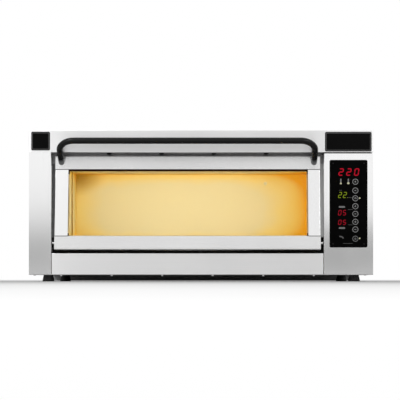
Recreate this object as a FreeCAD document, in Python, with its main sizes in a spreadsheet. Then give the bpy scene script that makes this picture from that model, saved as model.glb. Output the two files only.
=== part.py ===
import FreeCAD, Part
import math
import os
import re
import Sketcher

# Counter-top electric pizza deck oven with a drop-down glass door.
# +X is the viewer's right, the door faces -Y, +Z is up, and the feet stand on Z = 0.

Vector = FreeCAD.Vector
doc = FreeCAD.newDocument("pizza_oven")
sheet = doc.addObject("Spreadsheet::Sheet", "sizes")

# Driving dimensions, in millimetres and degrees
SIZES = {
    # outer skin
    "overall_width": 1040,
    "body_height": 437,
    "body_depth": 580,
    "foot_height": 20,
    "skin": 1.5,
    "bend_radius": 2.5,
    "post_width": 68,
    "post_return": 80,
    "box_width": 149,
    "box_seam": 4,
    "corner_return": 30,
    "fascia_height": 66.5,
    "soffit_lap": 10,
    "lower_height": 65,
    "end_seam": 1.5,
    "lid_flange": 30,
    "tray_lip": 25,
    "tray_lip_start": 100,
    "skirt_gap": 2,
    "louvre_length": 70,
    "louvre_height": 5,
    "louvre_pitch": 14,
    "louvre_count": 9,
    "louvre_drop": 60,
    "side_louvre_inset": 200,
    # feet
    "foot_top": 29,
    "foot_base": 36,
    "foot_side_inset": 53.5,
    "foot_front_inset": 45,
    "foot_rear_inset": 100,
    # door
    "door_lean": 7,
    "pivot_depth": 8,
    "pivot_inset": 18,
    "pivot_rise": 31,
    "door_thickness": 28,
    "door_side_gap": 10,
    "door_drop": 22,
    "door_top_gap": 9.78,
    "bottom_rail_top": 19,
    "top_rail_height": 41.3,
    "stile_width": 40,
    "right_stile_width": 37,
    "glass_thickness": 5,
    "glass_lap": 6,
    "spacer_width": 9,
    "gasket_depth": 4,
    "gasket_width": 8,
    "gasket_inset": 1.5,
    "gasket_gap": 0.3,
    # handle
    "handle_dia": 19,
    "handle_wall": 2,
    "handle_inset": 18.3,
    "handle_bend": 45,
    "handle_tilt": 28,
    "arm_length": 96.6,
    "arm_drop": 17.3,
    "socket_length": 20,
    "socket_gap": 0.1,
    # hinge
    "pin_dia": 7,
    "pin_gap": 0.05,
    "pin_in_block": 22,
    "pin_in_bush": 5,
    "block_width": 26,
    "block_height": 30,
    "block_gap": 0.2,
    "bush_dia": 11,
    "bush_length": 6,
    "bush_flange_dia": 15,
    "bush_flange": 2,
    # chamber
    "mouth_bar": 21.5,
    "mouth_head": 30.5,
    "chamber_depth": 400,
    "deck_rise": 50,
    "stone_thickness": 20,
    "stone_gap": 0.5,
    "support_thickness": 4,
    "support_rail": 30,
    "support_edge": 45,
    "support_count": 4,
    "wall_skirt": 30,
    "sill_setback": 3.3,
    "sill_overhang": 14,
    "sill_sheet": 2,
    "element_dia": 8.5,
    "element_gap": 0.3,
    "element_side": 52,
    "element_loops": 7,
    "element_inset": 30,
    "element_bay": 12,
    "insulation_gap": 0.5,
    "hot_side_wall": 45,
    # lamp and probe
    "lamp_dia": 62,
    "lamp_setback": 120,
    "lamp_drop": 70,
    "lamp_flange": 78,
    "lamp_housing_length": 36,
    "lamp_lens": 4,
    "bulb_dia": 24,
    "bulb_length": 26,
    "probe_dia": 6,
    "probe_reach": 35,
    "probe_drop": 30,
    "probe_inset": 140,
    # control panel
    "panel_width": 114.4,
    "panel_thickness": 1.5,
    "panel_corner": 5,
    "panel_drop": 19.5,
    "panel_head": 24.5,
    "panel_foot": 17.2,
    "panel_lap": 8,
    "board_gap": 6,
    "board_thickness": 1.6,
    "board_lap": 7,
    "standoff_dia": 5,
    # keys, with the free space above each, top to bottom
    "key_dia": 18.6,
    "key_gap": 0.3,
    "key_proud": 0.8,
    "key_lap": 1.1,
    "key_flange": 1.1,
    "key_stem": 3.5,
    "key_rest_gap": 0.2,
    "key_offset": 20.5,
    "key_temperature_up_space": 4.2,
    "key_temperature_down_space": 7.9,
    "key_select_space": 4.9,
    "key_top_heat_up_space": 5.4,
    "key_top_heat_down_space": 4.4,
    "key_bottom_heat_up_space": 5.4,
    "key_bottom_heat_down_space": 4.4,
    "key_power_space": 9.4,
    # display modules, with the rise of the small ones above a key
    "display_inset": 19,
    "display_temperature_length": 72,
    "display_temperature_height": 28,
    "display_timer_length": 37,
    "display_timer_height": 22,
    "display_timer_rise": 8.5,
    "display_top_heat_length": 37,
    "display_top_heat_height": 22,
    "display_top_heat_rise": 2,
    "display_bottom_heat_length": 37,
    "display_bottom_heat_height": 20,
    "display_bottom_heat_rise": 19.5,
    # electrics
    "contactor_width": 46,
    "contactor_height": 82,
    "contactor_depth": 80,
    "contactor_setback": 150,
    "contactor_gap": 20,
    "contactor_rise": 158.5,
    "terminal_length": 120,
    "terminal_height": 40,
    "terminal_depth": 34,
    "terminal_inset": 58.5,
    "terminal_rise": 38.5,
    # rear fittings
    "gland_dia": 32,
    "gland_bore": 16,
    "gland_reach": 22,
    "gland_inset": 65,
    "gland_rise": 53.5,
    "flue_dia": 60,
    "flue_reach": 20,
    "flue_flange": 84,
    "flue_drop": 52,
}

for row, (alias, value) in enumerate(SIZES.items(), 1):
    sheet.set(f"A{row}", alias)
    sheet.set(f"B{row}", str(value))
    sheet.setAlias(f"B{row}", alias)
doc.recompute()

# Places that many pieces share, worked out from the driving dimensions
HALF = "(overall_width/2)"
BODY_TOP = "(foot_height + body_height)"
FLOOR = "(foot_height + skin)"
FASCIA_BOTTOM = f"({BODY_TOP} - fascia_height)"
LID_BOTTOM = f"({BODY_TOP} - lid_flange)"
LOWER_TOP = "(foot_height + lower_height)"
REAR = "(body_depth - skin)"
MIDDLE = "((post_width - box_width)/2)"
MOUTH_LEFT = "(post_width - overall_width/2)"
MOUTH_RIGHT = "(overall_width/2 - box_width)"
CHAMBER_LEFT = f"({MOUTH_LEFT} + mouth_bar)"
CHAMBER_RIGHT = f"({MOUTH_RIGHT} - mouth_bar)"
CHAMBER_FRONT = "post_return"
CHAMBER_BACK = "(post_return + chamber_depth)"
DECK = f"({LOWER_TOP} + deck_rise)"
CEILING = f"({FASCIA_BOTTOM} - mouth_head)"
STONE_BOTTOM = f"({DECK} - stone_thickness)"
WALL_BOTTOM = f"({STONE_BOTTOM} - support_thickness)"
COMPARTMENT = f"({CHAMBER_RIGHT} + hot_side_wall)"
PIVOT = f"({LOWER_TOP} + pivot_rise)"
DOOR_LEFT = f"({MOUTH_LEFT} + door_side_gap)"
DOOR_RIGHT = f"({MOUTH_RIGHT} - door_side_gap)"
DOOR_FACE = "(-pivot_inset)"
DOOR_SKIN = "(skin - pivot_inset)"
DOOR_BACK = "(door_thickness - pivot_inset)"
DOOR_INNER = "(door_thickness - pivot_inset - skin)"
DOOR_RISE = f"(({FASCIA_BOTTOM} - door_top_gap - {PIVOT} - pivot_inset*sin(door_lean))/cos(door_lean))"
RAIL_SEAM = f"({DOOR_RISE} - top_rail_height)"
HANDLE_BASE = f"({DOOR_RISE} - arm_drop)"
HANDLE_SPAN = f"({DOOR_RIGHT} - {DOOR_LEFT} - 2*handle_inset)"

# The box's middle in depth is the origin, so the front plane lies at this Y
ARM_FOOT = f"(pivot_depth + {HANDLE_BASE}*sin(door_lean) - pivot_inset*cos(door_lean))"
HANDLE_FRONT = f"({ARM_FOOT} - arm_length*cos(handle_tilt + door_lean) - handle_dia/2)"
FRONT_PLANE = f"(-({HANDLE_FRONT} + body_depth + gland_reach)/2)"


def size(formula):
    """The present value of a formula of sheet names."""
    return float(sheet.evalExpression(formula))


def bound(formula):
    """The same formula with each sheet name led back to the sheet."""
    return re.sub(r"[a-z_]+", lambda word: "sizes." + word[0] if word[0] in SIZES else word[0], formula)


def bind(thing, path, formula):
    thing.setExpression(path, bound(formula))


def seat_depth(height):
    """Depth of the inclined plane that the door gasket closes on, at a height."""
    return (f"(pivot_depth + (door_thickness - pivot_inset + gasket_depth + gasket_gap"
            f" + ({height} - {PIVOT})*sin(door_lean))/cos(door_lean))")


# Frames that the pieces are drawn in

def in_oven(piece, x="0", z="0", y="0"):
    """Drawn from the front plane backwards."""
    bind(piece, "Placement.Base.x", x)
    bind(piece, "Placement.Base.y", f"{FRONT_PLANE} + {y}")
    bind(piece, "Placement.Base.z", z)


def in_door(piece):
    """Drawn upright about the hinge line, then leaned back."""
    piece.Placement = FreeCAD.Placement(Vector(), FreeCAD.Rotation(Vector(-1, 0, 0), size("door_lean")))
    bind(piece, "Placement.Rotation.Angle", "door_lean")
    bind(piece, "Placement.Base.y", f"{FRONT_PLANE} + pivot_depth")
    bind(piece, "Placement.Base.z", PIVOT)


def on_handle(piece):
    """Drawn with +Z along the handle's arms, from the face of the top rail."""
    turn = "90 - handle_tilt - door_lean"
    piece.Placement = FreeCAD.Placement(Vector(), FreeCAD.Rotation(Vector(1, 0, 0), size(turn)))
    bind(piece, "Placement.Rotation.Angle", turn)
    bind(piece, "Placement.Base.x", MIDDLE)
    bind(piece, "Placement.Base.y", f"{FRONT_PLANE} + {ARM_FOOT}")
    bind(piece, "Placement.Base.z",
         f"{PIVOT} + {HANDLE_BASE}*cos(door_lean) + pivot_inset*sin(door_lean)")


# Drawing and feature helpers

pieces = []


def new_body(label, place=in_oven):
    piece = doc.addObject("PartDesign::Body", label)
    piece.Label = label
    place(piece)
    pieces.append(piece)
    return piece


def origin_feature(piece, role):
    return next(feature for feature in piece.Origin.OriginFeatures if feature.Role == role)


def draw(piece, plane, offset, outlines):
    """A sketch on an origin plane, its corners and centres bound to formulas."""
    sketch = piece.newObject("Sketcher::SketchObject", piece.Name + "_sketch")
    sketch.AttachmentSupport = [(origin_feature(piece, plane), "")]
    sketch.MapMode = "FlatFace"
    bind(sketch, "AttachmentOffset.Base.z", offset)
    for outline in outlines:
        outline(sketch)
    return sketch


def fix(sketch, kind, formula, *where):
    number = sketch.addConstraint(Sketcher.Constraint(kind, *where, size(formula)))
    sketch.setExpression(f"Constraints[{number}]", bound(formula))


def polygon(*corners):
    """A closed outline of straight lines through corners given as formulas."""
    def add(sketch):
        places = [Vector(size(across), size(up), 0) for across, up in corners]
        first = sketch.GeometryCount
        count = len(corners)
        for number, place in enumerate(places):
            sketch.addGeometry(Part.LineSegment(place, places[(number + 1) % count]))
        for number in range(count):
            after = first + (number + 1) % count
            sketch.addConstraint(Sketcher.Constraint("Coincident", first + number, 2, after, 1))
        for number, (across, up) in enumerate(corners):
            fix(sketch, "DistanceX", across, -1, 1, first + number, 1)
            fix(sketch, "DistanceY", up, -1, 1, first + number, 1)
    return add


def rectangle(left, low, right, high):
    return polygon((left, low), (right, low), (right, high), (left, high))


def circle(across, up, diameter):
    def add(sketch):
        centre = Vector(size(across), size(up), 0)
        number = sketch.addGeometry(Part.Circle(centre, Vector(0, 0, 1), size(diameter)/2))
        fix(sketch, "DistanceX", across, -1, 1, number, 3)
        fix(sketch, "DistanceY", up, -1, 1, number, 3)
        fix(sketch, "Diameter", diameter, number)
    return add


def prism(piece, plane, start, end, *outlines):
    """A pad of the outlines from one coordinate to another, square to the plane."""
    offset = f"-({end})" if plane == "XZ_Plane" else start
    pad = piece.newObject("PartDesign::Pad", piece.Name + "_pad")
    pad.Profile = draw(piece, plane, offset, outlines)
    bind(pad, "Length", f"({end}) - ({start})")
    return pad


def recess(piece, plane, start, end, *outlines):
    """A pocket of the outlines from one coordinate to another, checked to cut."""
    doc.recompute()
    before = piece.Shape.Volume
    offset = f"-({start})" if plane == "XZ_Plane" else end
    cut = piece.newObject("PartDesign::Pocket", piece.Name + "_pocket")
    cut.Profile = draw(piece, plane, offset, outlines)
    bind(cut, "Length", f"({end}) - ({start})")
    doc.recompute()
    if cut.Shape.Volume >= before:
        raise RuntimeError("nothing was cut from " + piece.Label)
    return cut


def turned(piece, plane, axis, *outlines):
    """A revolution of half outlines about a sketch axis."""
    sketch = draw(piece, plane, "0", outlines)
    solid = piece.newObject("PartDesign::Revolution", piece.Name + "_turned")
    solid.Profile = sketch
    solid.ReferenceAxis = (sketch, [axis])
    solid.Angle = 360
    return solid


def row_of(piece, feature, axis, pitch, count):
    """Copies of a feature at a pitch along an origin axis."""
    pattern = piece.newObject("PartDesign::LinearPattern", piece.Name + "_row")
    pattern.Originals = [feature]
    pattern.Direction = (origin_feature(piece, axis), [""])
    bind(pattern, "Length", f"{pitch}*({count} - 1)")
    bind(pattern, "Occurrences", count)
    piece.Tip = pattern
    return pattern


def mirrored(piece, features, plane):
    copy = piece.newObject("PartDesign::Mirrored", piece.Name + "_mirror")
    copy.Originals = features
    copy.MirrorPlane = (origin_feature(piece, plane), [""])
    piece.Tip = copy
    return copy


def round_edges(piece, radius, *lines):
    """Fillets the edges along an axis, each line given as axis and fixed coordinates."""
    doc.recompute()
    tolerance = 0.01
    chosen = []
    for number, edge in enumerate(piece.Tip.Shape.Edges, 1):
        low = edge.BoundBox
        span = {"x": (low.XMin, low.XMax), "y": (low.YMin, low.YMax), "z": (low.ZMin, low.ZMax)}
        for axis, fixed in lines:
            off = max(abs(end - size(at)) for name, at in fixed.items() for end in span[name])
            if off < tolerance and span[axis][1] - span[axis][0] > tolerance:
                chosen.append(f"Edge{number}")
    if not chosen:
        raise RuntimeError("no edge to round on " + piece.Label)
    base = piece.Tip
    fillet = piece.newObject("PartDesign::Fillet", piece.Name + "_fillet")
    fillet.Base = (base, chosen)
    bind(fillet, "Radius", radius)
    return fillet


def swept(piece, plane, offset, path, *rings):
    """A bar or tube along a path of lines and arcs, its section drawn at the path's start."""
    spine = draw(piece, plane, offset, [path])
    section = piece.newObject("Sketcher::SketchObject", piece.Name + "_section")
    section.AttachmentSupport = [(spine, "Edge1"), (spine, "Vertex1")]
    section.MapMode = "NormalToEdge"
    for ring in rings:
        circle("0", "0", ring)(section)
    pipe = piece.newObject("PartDesign::AdditivePipe", piece.Name + "_pipe")
    pipe.Profile = section
    pipe.Spine = (spine, [])
    return pipe


# Base and feet

base_tray = new_body("base_tray")
prism(base_tray, "XY_Plane", "foot_height", FLOOR, rectangle(f"-{HALF}", "0", HALF, "body_depth"))
lip = prism(base_tray, "XY_Plane", FLOOR, f"{FLOOR} + tray_lip",
            rectangle(f"-{HALF} + skin", "tray_lip_start", f"-{HALF} + 2*skin", REAR))
mirrored(base_tray, [lip], "YZ_Plane")
prism(base_tray, "XY_Plane", "skirt_gap", "foot_height", rectangle(f"-{HALF}", REAR, HALF, "body_depth"))

FOOT_SIDE = f"({HALF} - foot_side_inset)"
FOOT_REAR = "(body_depth - foot_rear_inset)"
FEET = {
    "foot_front_left": (f"-{FOOT_SIDE}", "foot_front_inset"),
    "foot_front_right": (FOOT_SIDE, "foot_front_inset"),
    "foot_rear_left": (f"-{FOOT_SIDE}", FOOT_REAR),
    "foot_rear_right": (FOOT_SIDE, FOOT_REAR),
}
for label, (across, deep) in FEET.items():
    foot = new_body(label, lambda piece: in_oven(piece, across, "0", deep))
    turned(foot, "XZ_Plane", "V_Axis", polygon(
        ("0", "0"), ("foot_base/2", "0"), ("foot_base/2", "foot_height*0.2"),
        ("foot_top/2", "foot_height"), ("0", "foot_height")))
    round_edges(foot, "foot_height*0.1", ("x", {"z": "0"}))

# Outer skin

left_side_panel = new_body("left_side_panel")
prism(left_side_panel, "XY_Plane", FLOOR, LID_BOTTOM, polygon(
    (f"-{HALF}", REAR), (f"-{HALF}", "0"), (MOUTH_LEFT, "0"), (MOUTH_LEFT, "post_return"),
    (f"{MOUTH_LEFT} - skin", "post_return"), (f"{MOUTH_LEFT} - skin", "skin"),
    (f"-{HALF} + skin", "skin"), (f"-{HALF} + skin", REAR)))
round_edges(left_side_panel, "bend_radius",
            ("z", {"x": f"-{HALF}", "y": "0"}), ("z", {"x": MOUTH_LEFT, "y": "0"}))
recess(left_side_panel, "YZ_Plane", f"-{HALF} - skin", f"{MOUTH_LEFT} + skin",
       rectangle("-skin", FASCIA_BOTTOM, "corner_return", f"{LID_BOTTOM} + skin"))
recess(left_side_panel, "YZ_Plane", f"{MOUTH_LEFT} - 2*skin", f"{MOUTH_LEFT} + skin",
       circle("pivot_depth", PIVOT, "bush_dia + 2*pin_gap"))

control_box_front = new_body("control_box_front")
BOX_TOP = f"({FASCIA_BOTTOM} - box_seam)"
prism(control_box_front, "XY_Plane", FLOOR, BOX_TOP, polygon(
    (MOUTH_RIGHT, "post_return"), (MOUTH_RIGHT, "0"), (HALF, "0"), (HALF, "corner_return"),
    (f"{HALF} - skin", "corner_return"), (f"{HALF} - skin", "skin"),
    (f"{MOUTH_RIGHT} + skin", "skin"), (f"{MOUTH_RIGHT} + skin", "post_return")))
round_edges(control_box_front, "bend_radius",
            ("z", {"x": HALF, "y": "0"}), ("z", {"x": MOUTH_RIGHT, "y": "0"}))
PANEL_MIDDLE = f"({HALF} - box_width/2)"
PANEL_LEFT = f"({PANEL_MIDDLE} - panel_width/2)"
PANEL_RIGHT = f"({PANEL_MIDDLE} + panel_width/2)"
PANEL_TOP = f"({BOX_TOP} - panel_drop)"
DISPLAY_BOTTOM = f"({PANEL_TOP} - panel_head - display_temperature_height)"
KEYS = ("key_temperature_up", "key_temperature_down", "key_select", "key_top_heat_up", "key_top_heat_down",
        "key_bottom_heat_up", "key_bottom_heat_down", "key_power")
key_height = {}
above = DISPLAY_BOTTOM
for key in KEYS:
    key_height[key] = f"({above} - {key}_space - key_dia/2)"
    above = f"({above} - {key}_space - key_dia)"
PANEL_BOTTOM = f"({above} - panel_foot)"
HOLE_LEFT = f"({PANEL_LEFT} + panel_lap)"
HOLE_RIGHT = f"({PANEL_RIGHT} - panel_lap)"
HOLE_LOW = f"({PANEL_BOTTOM} + panel_lap)"
HOLE_HIGH = f"({PANEL_TOP} - panel_lap)"
recess(control_box_front, "XZ_Plane", "-skin", "2*skin",
       rectangle(HOLE_LEFT, HOLE_LOW, HOLE_RIGHT, HOLE_HIGH))
recess(control_box_front, "YZ_Plane", f"{MOUTH_RIGHT} - skin", f"{MOUTH_RIGHT} + 2*skin",
       circle("pivot_depth", PIVOT, "bush_dia + 2*pin_gap"))


LOUVRE_LOW = f"({LID_BOTTOM} - louvre_drop - (louvre_count - 1)*louvre_pitch - louvre_height)"


def louvres(piece, plane, start, end, middle):
    """A column of ventilation slots cut through a skin."""
    slot = recess(piece, plane, start, end, rectangle(
        f"{middle} - louvre_length/2", LOUVRE_LOW,
        f"{middle} + louvre_length/2", f"{LOUVRE_LOW} + louvre_height"))
    row_of(piece, slot, "Z_Axis", "louvre_pitch", "louvre_count")


right_side_cover = new_body("right_side_cover")
prism(right_side_cover, "XY_Plane", FLOOR, LID_BOTTOM,
      rectangle(f"{HALF} - skin", "corner_return", HALF, REAR))
louvres(right_side_cover, "YZ_Plane", f"{HALF} - 2*skin", f"{HALF} + skin",
        "(body_depth - side_louvre_inset)")

top_fascia = new_body("top_fascia")
prism(top_fascia, "XY_Plane", FASCIA_BOTTOM, BODY_TOP, rectangle(f"-{HALF}", "0", HALF, "corner_return"))
round_edges(top_fascia, "bend_radius", ("x", {"y": "0", "z": BODY_TOP}),
            ("z", {"x": f"-{HALF}", "y": "0"}), ("z", {"x": HALF, "y": "0"}))
recess(top_fascia, "XY_Plane", f"{FASCIA_BOTTOM} + skin", f"{BODY_TOP} - skin",
       rectangle(f"skin - {HALF}", "skin", f"{HALF} - skin", "corner_return + skin"))
prism(top_fascia, "XY_Plane", FASCIA_BOTTOM, f"{FASCIA_BOTTOM} + skin",
      rectangle(MOUTH_LEFT, "skin", MOUTH_RIGHT, f"{seat_depth(FASCIA_BOTTOM)} + soffit_lap"))

top_cover = new_body("top_cover")
prism(top_cover, "XY_Plane", LID_BOTTOM, BODY_TOP, rectangle(f"-{HALF}", "corner_return", HALF, "body_depth"))
round_edges(top_cover, "bend_radius", ("x", {"y": "body_depth", "z": BODY_TOP}),
            ("y", {"x": f"-{HALF}", "z": BODY_TOP}), ("y", {"x": HALF, "z": BODY_TOP}))
recess(top_cover, "XY_Plane", f"{LID_BOTTOM} - skin", f"{BODY_TOP} - skin",
       rectangle(f"skin - {HALF}", "corner_return - skin", f"{HALF} - skin", REAR))

SILL_NOSE = f"({seat_depth(DECK)} + sill_setback)"
SILL_BACK = f"({SILL_NOSE} + sill_overhang)"
LEDGE = f"({SILL_BACK} + sill_sheet)"

lower_fascia = new_body("lower_fascia")
prism(lower_fascia, "YZ_Plane", f"{MOUTH_LEFT} + end_seam", f"{MOUTH_RIGHT} - end_seam", polygon(
    ("0", FLOOR), ("skin", FLOOR), ("skin", f"{LOWER_TOP} - skin"), (LEDGE, f"{LOWER_TOP} - skin"),
    (LEDGE, LOWER_TOP), ("0", LOWER_TOP)))
round_edges(lower_fascia, "bend_radius*0.8", ("x", {"y": "0", "z": LOWER_TOP}))

GLAND_X = f"({HALF} - gland_inset)"
GLAND_Z = f"({FLOOR} + gland_rise)"
FLUE_Z = f"({LID_BOTTOM} - flue_drop)"

rear_panel = new_body("rear_panel")
prism(rear_panel, "XZ_Plane", REAR, "body_depth", rectangle(f"-{HALF}", FLOOR, HALF, LID_BOTTOM))
recess(rear_panel, "XZ_Plane", f"{REAR} - skin", "body_depth + skin",
       circle(GLAND_X, GLAND_Z, "gland_bore"), circle(MIDDLE, FLUE_Z, "flue_dia - 2*skin"))
louvres(rear_panel, "XZ_Plane", f"{REAR} - skin", "body_depth + skin", GLAND_X)

# Mouth frame, with the inclined face that the door closes on

SILL_UNDER = f"({DECK} - sill_sheet)"


def mouth_side_bar(label, left, right):
    bar = new_body(label)
    prism(bar, "YZ_Plane", left, right, polygon(
        (SILL_BACK, LOWER_TOP), (SILL_BACK, DECK), (seat_depth(DECK), DECK), (seat_depth(CEILING), CEILING),
        (CHAMBER_FRONT, CEILING), (CHAMBER_FRONT, LOWER_TOP)))


mouth_side_bar("mouth_left_bar", MOUTH_LEFT, CHAMBER_LEFT)
mouth_side_bar("mouth_right_bar", CHAMBER_RIGHT, MOUTH_RIGHT)

mouth_top_bar = new_body("mouth_top_bar")
prism(mouth_top_bar, "YZ_Plane", MOUTH_LEFT, MOUTH_RIGHT, polygon(
    (seat_depth(CEILING), CEILING), (seat_depth(FASCIA_BOTTOM), FASCIA_BOTTOM),
    (CHAMBER_FRONT, FASCIA_BOTTOM), (CHAMBER_FRONT, CEILING)))

deck_sill = new_body("deck_sill")
prism(deck_sill, "YZ_Plane", CHAMBER_LEFT, CHAMBER_RIGHT, polygon(
    (SILL_NOSE, DECK), (CHAMBER_FRONT, DECK), (CHAMBER_FRONT, SILL_UNDER), (LEDGE, SILL_UNDER),
    (LEDGE, LOWER_TOP), (SILL_BACK, LOWER_TOP), (SILL_BACK, SILL_UNDER), (SILL_NOSE, SILL_UNDER)))

# Chamber lining

SKIRT = f"({WALL_BOTTOM} - wall_skirt)"

chamber_ceiling = new_body("chamber_ceiling")
prism(chamber_ceiling, "XY_Plane", CEILING, f"{CEILING} + skin",
      rectangle(f"{CHAMBER_LEFT} - skin", CHAMBER_FRONT, f"{CHAMBER_RIGHT} + skin", f"{CHAMBER_BACK} + skin"))

chamber_left_wall = new_body("chamber_left_wall")
prism(chamber_left_wall, "YZ_Plane", f"{CHAMBER_LEFT} - skin", CHAMBER_LEFT,
      rectangle(CHAMBER_FRONT, SKIRT, CHAMBER_BACK, CEILING))

LAMP_DEPTH = f"({CHAMBER_FRONT} + lamp_setback)"
LAMP_HEIGHT = f"({CEILING} - lamp_drop)"
chamber_right_wall = new_body("chamber_right_wall")
prism(chamber_right_wall, "YZ_Plane", CHAMBER_RIGHT, f"{CHAMBER_RIGHT} + skin",
      rectangle(CHAMBER_FRONT, SKIRT, CHAMBER_BACK, CEILING))
recess(chamber_right_wall, "YZ_Plane", f"{CHAMBER_RIGHT} - skin", f"{CHAMBER_RIGHT} + 2*skin",
       circle(LAMP_DEPTH, LAMP_HEIGHT, "lamp_dia"))

PROBE_X = f"({CHAMBER_RIGHT} - probe_inset)"
PROBE_Z = f"({CEILING} - probe_drop)"
chamber_back_wall = new_body("chamber_back_wall")
prism(chamber_back_wall, "XZ_Plane", CHAMBER_BACK, f"{CHAMBER_BACK} + skin",
      rectangle(f"{CHAMBER_LEFT} - skin", SKIRT, f"{CHAMBER_RIGHT} + skin", CEILING))
recess(chamber_back_wall, "XZ_Plane", f"{CHAMBER_BACK} - skin", f"{CHAMBER_BACK} + 2*skin",
       circle(PROBE_X, PROBE_Z, "probe_dia"))

# Hearth: two stones on a welded grid

hearth_support = new_body("hearth_support")
prism(hearth_support, "XY_Plane", WALL_BOTTOM, STONE_BOTTOM, rectangle(
    CHAMBER_LEFT, f"{CHAMBER_FRONT} + stone_gap", CHAMBER_RIGHT, f"{CHAMBER_BACK} - stone_gap"))
GRID_LEFT = f"({CHAMBER_LEFT} + support_edge)"
GRID_RIGHT = f"({CHAMBER_RIGHT} - support_edge)"
GRID_PITCH = f"(({GRID_RIGHT} - {GRID_LEFT} + support_rail)/support_count)"
window = recess(hearth_support, "XY_Plane", f"{WALL_BOTTOM} - skin", f"{STONE_BOTTOM} + skin", rectangle(
    GRID_LEFT, f"{CHAMBER_FRONT} + support_rail",
    f"{GRID_LEFT} + {GRID_PITCH} - support_rail", f"{CHAMBER_BACK} - support_rail"))
row_of(hearth_support, window, "X_Axis", GRID_PITCH, "support_count")

STONES = {
    "hearth_stone_left": (f"{CHAMBER_LEFT} + stone_gap", f"{MIDDLE} - stone_gap"),
    "hearth_stone_right": (f"{MIDDLE} + stone_gap", f"{CHAMBER_RIGHT} - stone_gap"),
}
for label, (left, right) in STONES.items():
    stone = new_body(label)
    prism(stone, "XY_Plane", STONE_BOTTOM, DECK,
          rectangle(left, f"{CHAMBER_FRONT} + stone_gap", right, f"{CHAMBER_BACK} - stone_gap"))
    round_edges(stone, "stone_thickness*0.1", ("x", {"y": f"{CHAMBER_FRONT} + stone_gap", "z": DECK}))


# Heating elements: round rods bent to and fro across the chamber

def serpentine(left, front, back, pitch, loops):
    """Straight runs joined by half circles at alternate ends."""
    def add(sketch):
        first = sketch.GeometryCount
        runs = 2*round(size(loops))
        ends = (front, back)
        for run in range(runs):
            across = f"{left} + {run}*{pitch}"
            corners = [Vector(size(across), size(end), 0) for end in ends]
            line = sketch.addGeometry(Part.LineSegment(*(corners if run % 2 == 0 else reversed(corners))))
            for point, end in zip((1, 2), ends if run % 2 == 0 else reversed(ends)):
                fix(sketch, "DistanceX", across, -1, 1, line, point)
                fix(sketch, "DistanceY", end, -1, 1, line, point)
        for run in range(runs - 1):
            far = run % 2 == 0
            middle = f"{left} + {run}*{pitch} + {pitch}/2"
            end = back if far else front
            bend = Part.Circle(Vector(size(middle), size(end), 0), Vector(0, 0, 1), size(pitch)/2)
            turn = (0, math.pi) if far else (math.pi, 2*math.pi)
            arc = sketch.addGeometry(Part.ArcOfCircle(bend, *turn))
            sketch.addConstraint(Sketcher.Constraint("Coincident", arc, 2 if far else 1, first + run, 2))
            sketch.addConstraint(Sketcher.Constraint("Coincident", arc, 1 if far else 2, first + run + 1, 1))
            fix(sketch, "DistanceY", end, -1, 1, arc, 3)
    return add


ELEMENT_LEFT = f"({CHAMBER_LEFT} + element_side)"
ELEMENT_RIGHT = f"({CHAMBER_RIGHT} - element_side)"
ELEMENT_PITCH = f"(({ELEMENT_RIGHT} - {ELEMENT_LEFT})/(2*element_loops - 1))"
BENDS = f"(element_inset + {ELEMENT_PITCH}/2)"
ELEMENTS = {
    "top_elements": f"{CEILING} + skin + element_gap + element_dia/2",
    "bottom_elements": f"{WALL_BOTTOM} - element_gap - element_dia/2",
}
for label, height in ELEMENTS.items():
    element = new_body(label)
    swept(element, "XY_Plane", height,
          serpentine(ELEMENT_LEFT, f"{CHAMBER_FRONT} + {BENDS}", f"{CHAMBER_BACK} - {BENDS}",
                     ELEMENT_PITCH, "element_loops"), "element_dia")

# Insulation slabs round the chamber, with the lamp's well and the flue's duct

LINING_TOP = f"({CEILING} + skin + element_bay)"
LINING_FRONT = f"{CHAMBER_FRONT} + insulation_gap"
LINING_BACK = f"{REAR} - insulation_gap"
insulation = new_body("insulation")
prism(insulation, "XY_Plane", LINING_TOP, f"{BODY_TOP} - skin - insulation_gap", rectangle(
    f"skin + insulation_gap - {HALF}", LINING_FRONT, f"{COMPARTMENT} - insulation_gap", LINING_BACK))
prism(insulation, "XY_Plane", f"{FLOOR} + insulation_gap", f"{LINING_TOP} - insulation_gap", rectangle(
    f"2*skin + insulation_gap - {HALF}", LINING_FRONT,
    f"{CHAMBER_LEFT} - skin - insulation_gap", LINING_BACK))
prism(insulation, "XY_Plane", f"{FLOOR} + insulation_gap", f"{LINING_TOP} - insulation_gap", rectangle(
    f"{CHAMBER_RIGHT} + skin + insulation_gap", LINING_FRONT, f"{COMPARTMENT} - insulation_gap", LINING_BACK))
prism(insulation, "XY_Plane", f"{FLOOR} + insulation_gap", f"{LINING_TOP} - insulation_gap", rectangle(
    f"{CHAMBER_LEFT} - skin", f"{CHAMBER_BACK} + skin + insulation_gap",
    f"{CHAMBER_RIGHT} + skin", LINING_BACK))
prism(insulation, "XY_Plane", f"{FLOOR} + insulation_gap", f"{WALL_BOTTOM} - element_bay", rectangle(
    f"{CHAMBER_LEFT} + insulation_gap", f"{LEDGE} + insulation_gap",
    f"{CHAMBER_RIGHT} - insulation_gap", f"{CHAMBER_BACK} - insulation_gap"))
recess(insulation, "YZ_Plane", CHAMBER_RIGHT, COMPARTMENT,
       circle(LAMP_DEPTH, LAMP_HEIGHT, "lamp_dia + 2*insulation_gap"))
recess(insulation, "XZ_Plane", f"{CHAMBER_BACK} - flue_dia", REAR, circle(MIDDLE, FLUE_Z, "flue_dia"))

# Chamber lamp in the right wall, and the temperature probe in the back wall


def in_right_wall(piece):
    in_oven(piece, CHAMBER_RIGHT, LAMP_HEIGHT, LAMP_DEPTH)


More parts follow.
